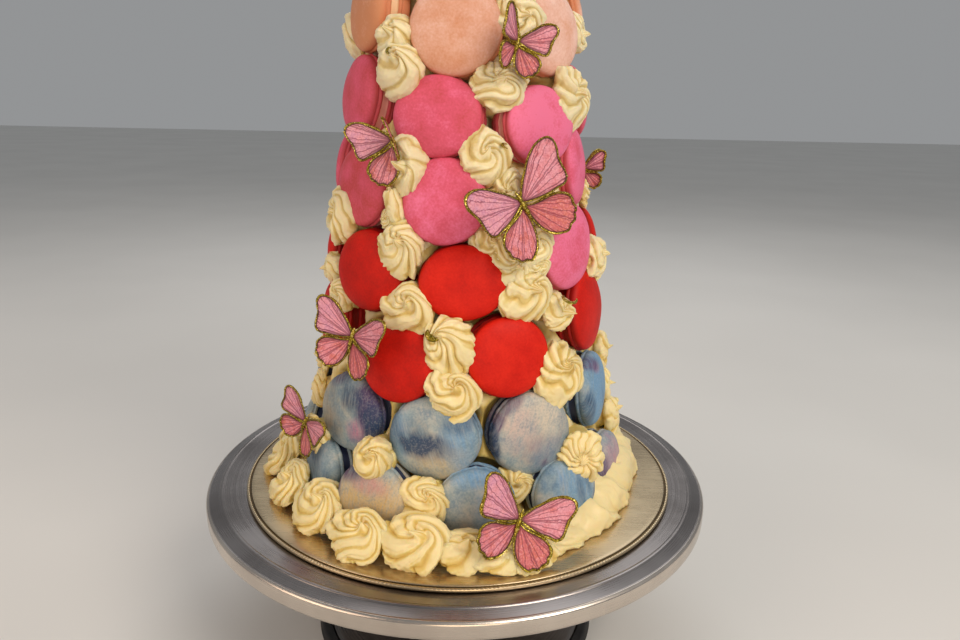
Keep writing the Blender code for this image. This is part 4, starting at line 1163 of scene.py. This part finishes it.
def makeStand():
    # plate, board, foot and foot ring as filleted profiles spun round; the board's edge line
    # is crimped by a cosine of the angle and its foil waves a little
    top, radius, flat = stand["plateTop"], stand["plateRadius"], stand["flatRadius"]
    low, drop = top - stand["plateThick"], stand["bevelDrop"]
    plate = filleted((
        (0.5, low, 0), (radius - 12, low, 0), (radius - 10, low + 1, 0.4),
        (radius - 2, low, 0.8), (radius, low + 2, 1.2), (radius, top - drop - 0.2, 0.9),
        (radius - 1.4, top - drop + 0.9, 0.5), (radius - 2.2, top - drop + 0.75, 0.3),
        (flat + 1.6, top - 0.7, 0.3), (flat + 0.9, top, 0.35), (flat - 0.4, top, 0.3),
        (flat - 1, top - 0.25, 0.2), (0.5, top - 0.25, 0)))
    middle = (plate[1:] + plate[:-1]) / 2
    # painted reflection: the flank's band takes the paler copy of the aluminium
    bright = (middle[:, 0] > radius - 1.6) & (middle[:, 1] > low + 1)
    setMesh("turntable_plate", [turned(plate, 240, band=bright)], [aluminium, flankPaintedPale],
            "turntable", ["plate"], sharp=32)
    edge, thick, height = stand["boardRadius"], stand["boardThick"], stand["boardTop"]
    board = filleted((
        (0.5, height - thick, 0), (edge - 0.6, height - thick, 0.4), (edge, height - 1.2, 0.4),
        (edge - 0.3, height - 0.1, 0.3), (edge - 1.4, height, 0.3), (edge - 1.7, height - 0.7, 0.1),
        (edge - 2.5, height - 0.7, 0.1), (edge - 2.8, height, 0.3), (edge - 5, height, 0),
        (0.5, height, 0)), 4)
    middle = (board[1:] + board[:-1]) / 2
    # painted shade: the bottom of the groove inside the edge takes the dark copy of the foil
    line = (middle[:, 1] < height - 0.3) & (np.abs(middle[:, 0] - edge + 2.1) < 0.6)
    line = line & (middle[:, 1] > height - 1)
    boardSkin = turned(board, 1600, stand["boardCentre"], band=line)
    points = boardSkin["points"]
    out = points[:, :2] - stand["boardCentre"]
    reach = np.linalg.norm(out, axis=1)
    angle = np.arctan2(out[:, 1], out[:, 0])
    crimp = (0.5 + 0.5 * np.cos(angle * 400)) * smooth(reach, edge - 2.9, edge - 1.6)
    points[:, 2] -= 0.22 * crimp * (points[:, 2] > height - 0.5)
    wave = softNoise(points, 40, 3) * 0.12 * (points[:, 2] > height - 0.8)
    points[:, 2] += np.minimum(wave - 0.12, 0)
    setMesh("cake_board", [boardSkin], [foil, foilGrooveShade], "turntable", ["board"],
            sharp=45)
    flange, under = stand["flange"], low - tower["coreGap"]
    rise = stand["baseRise"]
    base = filleted((
        (0.5, rise, 0), (flange - 0.5, rise, 0.4), (flange, 2, 0.6), (flange, 5, 1.2),
        (flange - 2.5, 6.4, 0.8), (flange - 8, 8, 3), (46, 15, 10), (27, 30, 9), (22, 54, 10),
        (22, low - 12, 2), (30, low - 8, 2), (30, under, 0.6), (0.5, under, 0)), 8)
    setMesh("stand_base", [turned(base, 160)], [steel], "foot", ["base"], sharp=32)
    foot, wall = stand["footRadius"], stand["footWall"]
    ring = filleted((
        (foot - wall + 1, 0, 0), (foot - wall + 2, 0, 0), (foot, 0, 1.2),
        (foot - 1.5, stand["footHeight"], 1.6), (foot - wall, stand["footHeight"], 0.8),
        (foot - wall, 0.5, 0)), 6)
    setMesh("rubber_foot", [turned(ring, 200, loop=True)], [rubber], "foot",
            ["foot_ring"], sharp=40)
    print("spun the stand")


# outlines of an upper and a lower wing on the right, from the root round the tip and back:
# (aside, towards the head) in spans
wingOutlines = (
    ((0, .02), (.03, .075), (.1, .165), (.18, .245), (.26, .32), (.345, .37), (.43, .388),
     (.5, .37), (.53, .31), (.518, .24), (.494, .17), (.486, .1), (.486, .03), (.468, -.035),
     (.42, -.066), (.35, -.062), (.275, -.062), (.19, -.05), (.1, -.026), (.03, -.002)),
    ((.015, -.03), (.08, -.055), (.16, -.068), (.25, -.078), (.335, -.105), (.395, -.155),
     (.418, -.21), (.405, -.26), (.408, -.31), (.37, -.352), (.345, -.4), (.29, -.415),
     (.245, -.45), (.18, -.435), (.12, -.405), (.07, -.35), (.035, -.28), (.015, -.2),
     (.008, -.12)),
)


def closedCurve(controls, count):
    # a smooth closed curve through the control points, evenly stepped along its length
    controls = np.asarray(controls, float)
    total = len(controls)
    t = np.linspace(0, total, count * 6, endpoint=False)
    index = np.floor(t).astype(int)
    u = (t - index)[:, None]
    a, b, c, d = (controls[(index + k) % total] for k in (-1, 0, 1, 2))
    fine = 0.5 * (2 * b + (c - a) * u + (2 * a - 5 * b + 4 * c - d) * u ** 2
                  + (3 * b - a - 3 * c + d) * u ** 3)
    step = np.linalg.norm(np.roll(fine, -1, 0) - fine, axis=1)
    run = np.concatenate(([0], np.cumsum(step)))
    wanted = np.linspace(0, run[-1], count, endpoint=False)
    closed = np.vstack((fine, fine[:1]))
    return np.stack([np.interp(wanted, run, closed[:, i]) for i in range(2)], -1)


def wingSheet(outline, span, side, lift, seed):
    # a thin leaf: rings shrink from the outline to the wing's middle on the face and back
    # out on the reverse; it cups a little and folds up from the body by its lift
    around = 72
    curve = closedCurve(outline, around) * span
    middle = curve.mean(0)
    shrink = np.array((0.03, 0.2, 0.4, 0.58, 0.72, 0.83, 0.91, 0.965, 1.0))
    rings = middle + (curve - middle)[None] * np.concatenate((shrink, shrink[::-1]))[:, None, None]
    thick = 0.28
    z = np.concatenate((np.full(len(shrink), thick), np.full(len(shrink), -thick)))
    x, y = rings[..., 0], rings[..., 1]
    reach = np.hypot(x, y)
    cup = 0.05 * reach ** 2 / span + 0.25 * np.sin(np.arctan2(y, x) * 5 + seed) * reach / span
    cup = cup + 0.5 * softNoise(np.stack((x, y, 0 * x), -1), span * 0.25, seed) * reach / span
    local = np.stack((x, y, z[:, None] + cup), -1)
    angle = np.arctan2(y, x)
    size = np.linalg.norm(curve - middle, axis=1)
    inset = (1 - np.concatenate((shrink, shrink[::-1])))[:, None] * size[None]
    values = np.stack((angle, reach, inset), -1)
    fold = math.radians(lift)
    bent = np.stack((
        local[..., 0] * math.cos(fold) - local[..., 2] * math.sin(fold), local[..., 1],
        local[..., 0] * math.sin(fold) + local[..., 2] * math.cos(fold)), -1)
    bent[..., 0] *= side
    edge = (bent[len(shrink) - 1] + bent[len(shrink)]) / 2
    return bent, values, edge


def tube(path, radius, around, closed=False, seed=None, flat=1.0):
    # a round section carried along a path, its radius given for each point
    path = np.asarray(path, float)
    if closed:
        tangent = np.roll(path, -1, 0) - np.roll(path, 1, 0)
    else:
        tangent = np.gradient(path, axis=0)
    tangent /= np.linalg.norm(tangent, axis=1)[:, None] + 1e-9
    guide = np.array((0.03, 0.05, 1.0))
    side = np.cross(tangent, guide)
    side /= np.linalg.norm(side, axis=1)[:, None] + 1e-9
    up = np.cross(side, tangent)
    angle = np.linspace(0, 2 * math.pi, around, endpoint=False)
    radius = np.broadcast_to(radius, len(path))[:, None, None]
    points = path[:, None] + radius * (
        np.cos(angle)[None, :, None] * side[:, None]
        + flat * np.sin(angle)[None, :, None] * up[:, None])
    if seed is not None:
        points = points + 0.12 * softNoise(points, 0.7, seed)[..., None] * (1, 1, 1)
    return points


def makeButterflies():
    # four wings folded up from the body, a wavering gilt tube round each, and a body that
    # tapers to both ends
    for number, spec in enumerate(butterflies, 1):
        span, seed = spec["span"], 40 + number
        place, axes = onFace(spec["turn"], spec["height"], spec["out"],
                             math.radians(spec.get("lean", 0)))
        turn = Matrix.Rotation(math.radians(spec.get("yaw", 0)), 3, "Y")
        turn = turn @ Matrix.Rotation(-math.radians(spec["head"]), 3, "Z")
        axes = np.array(turn).T @ axes
        parts = []
        small = span * spec.get("small", 1)
        for side, lift, size in ((-1, spec["left"], span), (1, spec["right"], small)):
            for lower, outline in enumerate(wingOutlines):
                sheet, values, edge = wingSheet(outline, size, side, lift, seed + side + lower)
                drop = axes[2] * 0.5 * lower
                sheet, edge = sheet @ axes - drop, edge @ axes - drop
                blush = np.full(sheet.shape[:2], 0.1 + 0.3 * lower + 0.16 * (side > 0))
                parts.append(skin(place + sheet, wing=values, blush=blush))
                wobble = 0.68 + 0.2 * softNoise(edge, 1.6, seed) + 0.3 * softNoise(edge, 6, seed)
                rim = tube(edge, wobble, 7, closed=True, seed=seed, flat=0.75)
                rimPart = skin(place + rim, loop=True, wing=np.zeros((*rim.shape[:2], 3)),
                               blush=np.zeros(rim.shape[:2]))
                rimPart["band"][:] = 1
                parts.append(rimPart)
        lengthwise = np.linspace(-0.17, 0.13, 26) * span
        girth = 1.25 * np.clip(1 - (np.linspace(-1, 1, 26)) ** 2, 0.02, 1) ** 0.6
        girth = girth * (1 + 0.14 * np.sin(np.linspace(0, 9 * math.pi, 26)))
        trunk = np.stack((0 * lengthwise, lengthwise, 0 * lengthwise + 0.5), -1)
        points = tube(trunk, girth, 12, seed=seed)
        trunkPart = skin(place + points @ axes, wing=np.zeros((*points.shape[:2], 3)),
                         blush=np.zeros(points.shape[:2]))
        trunkPart["band"][:] = 1
        trunkPart["ends"] = (1, 1)
        parts.append(trunkPart)
        setMesh("butterfly_%d_wafer" % number, parts, [wafer, gilt], "turntable",
                ["butterfly_%d" % number], sharp=60)
    print("cut the butterflies")


# curls of gilded paper pressed into the swirls: turn, height, distance out, radius, degrees
# of the arc, tip and turn of its plane
curls = (
    (-28, 238, 5, 3.2, 250, 30, 20), (41, 121, 4, 4.2, 230, 50, 100),
    (-8, 110, 4, 5.5, 110, 15, 190),
    (17, 196, 3, 2.6, 200, 40, 60), (33, 243, 3, 2.6, 200, 20, 140),
)


def makeTrimmings():
    # each curl is a flat strip bent along an arc that widens and lifts as it goes; the ring
    # of caramel is a small round one at the flat swirl's eye, where the cream covers it
    parts = []
    for number, (turn, height, out, size, arc, tip, spin) in enumerate(curls):
        place, axes = onFace(turn, height, out)
        axes = tipped(axes, 0, tip)
        t = np.linspace(0, 1, 26)
        angle = np.radians(spin + arc * t)
        radius = size * (0.55 + 0.5 * t)
        path = np.stack((np.cos(angle) * radius, np.sin(angle) * radius, 1.6 * t), -1)
        girth = size * 0.32 * np.clip(np.sin(math.pi * (0.08 + 0.84 * t)), 0.15, 1)
        strip = tube(path, girth, 10, seed=60 + number, flat=0.35)
        parts.append(skin(place + strip @ axes))
    setMesh("gold_curls", parts, [gilt], "turntable")
    place, axes = onFace(43, 37, -swirlSink)
    axes = tipped(axes, -28, 2)
    place = place + axes[2] * 5.2
    angle = np.linspace(0, 2 * math.pi, 40, endpoint=False)
    path = np.stack((1.5 * np.cos(angle), 1.3 * np.sin(angle), 0.4 * np.sin(angle)), -1)
    path = path + (-0.6, -2.2, 0)
    ring = skin(place + tube(path, 0.45, 12, closed=True, seed=70) @ axes, loop=True)
    setMesh("caramel_ring", [ring], [caramel], "turntable")
    print("set the trimmings")


def makeStudio():
    # a plain floor and pale world, four soft boxes, and a camera where the photo's stood
    scene = bpy.context.scene
    lens = bpy.data.cameras.new("camera")
    lens.lens, lens.sensor_width = 28.125, 36
    lens.clip_start, lens.clip_end = 0.02, 50
    camera = bpy.data.objects.new("camera", lens)
    camera.matrix_world = (
        Matrix.Translation((0.0124, -0.4304, 0.3233))
        @ Matrix.Rotation(math.radians(90 - 16.048), 4, "X")
        @ Matrix.Rotation(math.radians(1.16), 4, "Z"))
    scene.collection.objects.link(camera)
    scene.camera = camera
    scene.view_settings.view_transform = "Standard"
    size = 8.0
    mesh = bpy.data.meshes.new("floor")
    mesh.from_pydata([(-size, -size, 0), (size, -size, 0), (size, size, 0), (-size, size, 0)],
                     [], [(0, 1, 2, 3)])
    floor = bpy.data.objects.new("floor", mesh)
    made, tree, shader = newMaterial("pale matt floor", Roughness=0.85)
    place = addNode(tree, "TexCoord").outputs["Object"]
    cloud = addNode(tree, "TexNoise", {"Vector": place, "Scale": 3.0, "Detail": 2.0})
    colour = addNode(
        tree, "ValToRGB", (cloud.outputs["Fac"],), ((0.3, "#D6D5D2"), (0.7, "#DCDBD8"))).outputs[0]
    tree.links.new(colour, shader.inputs["Base Color"])
    mesh.materials.append(made)
    scene.collection.objects.link(floor)
    world = bpy.data.worlds.new("studio")
    world.use_nodes = True
    back = world.node_tree.nodes["Background"]
    back.inputs["Color"].default_value = linear("#DEE0E2")
    back.inputs["Strength"].default_value = 0.4
    scene.world = world
    # soft boxes: place, what it faces, size, watts, colour
    boxes = (
        ((0.85, -1.0, 1.3), (0, 0, 0.3), 0.8, 16.4, "#FFF3E4"),
        ((-1.2, -0.9, 0.8), (0, 0, 0.3), 1.0, 7.5, "#FFE2C8"),
        ((0.1, 0.9, 1.5), (0, 0, 0.3), 1.3, 8.2, "#FFFFFF"),
        ((0.2, -1.8, 0.3), (0, 0, 0.12), 0.8, 6.5, "#FFE6C4"),
    )
    for spot, aim, size, watts, tint in boxes:
        light = bpy.data.lights.new("softbox", "AREA")
        light.energy, light.size, light.color = watts, size, linear(tint)[:3]
        lamp = bpy.data.objects.new("softbox", light)
        away = np.array(spot) - np.array(aim)
        out = away / np.linalg.norm(away)
        side = np.cross((0, 0, 1), out)
        side /= np.linalg.norm(side)
        direction = Matrix(np.array((side, np.cross(out, side), out)).T.tolist())
        lamp.matrix_world = Matrix.Translation(spot) @ direction.to_4x4()
        scene.collection.objects.link(lamp)
    print("lit the studio")


makeStudio()
makeStand()
makeCoats()
makeMacarons()
makeSwirls()
makeButterflies()
makeTrimmings()
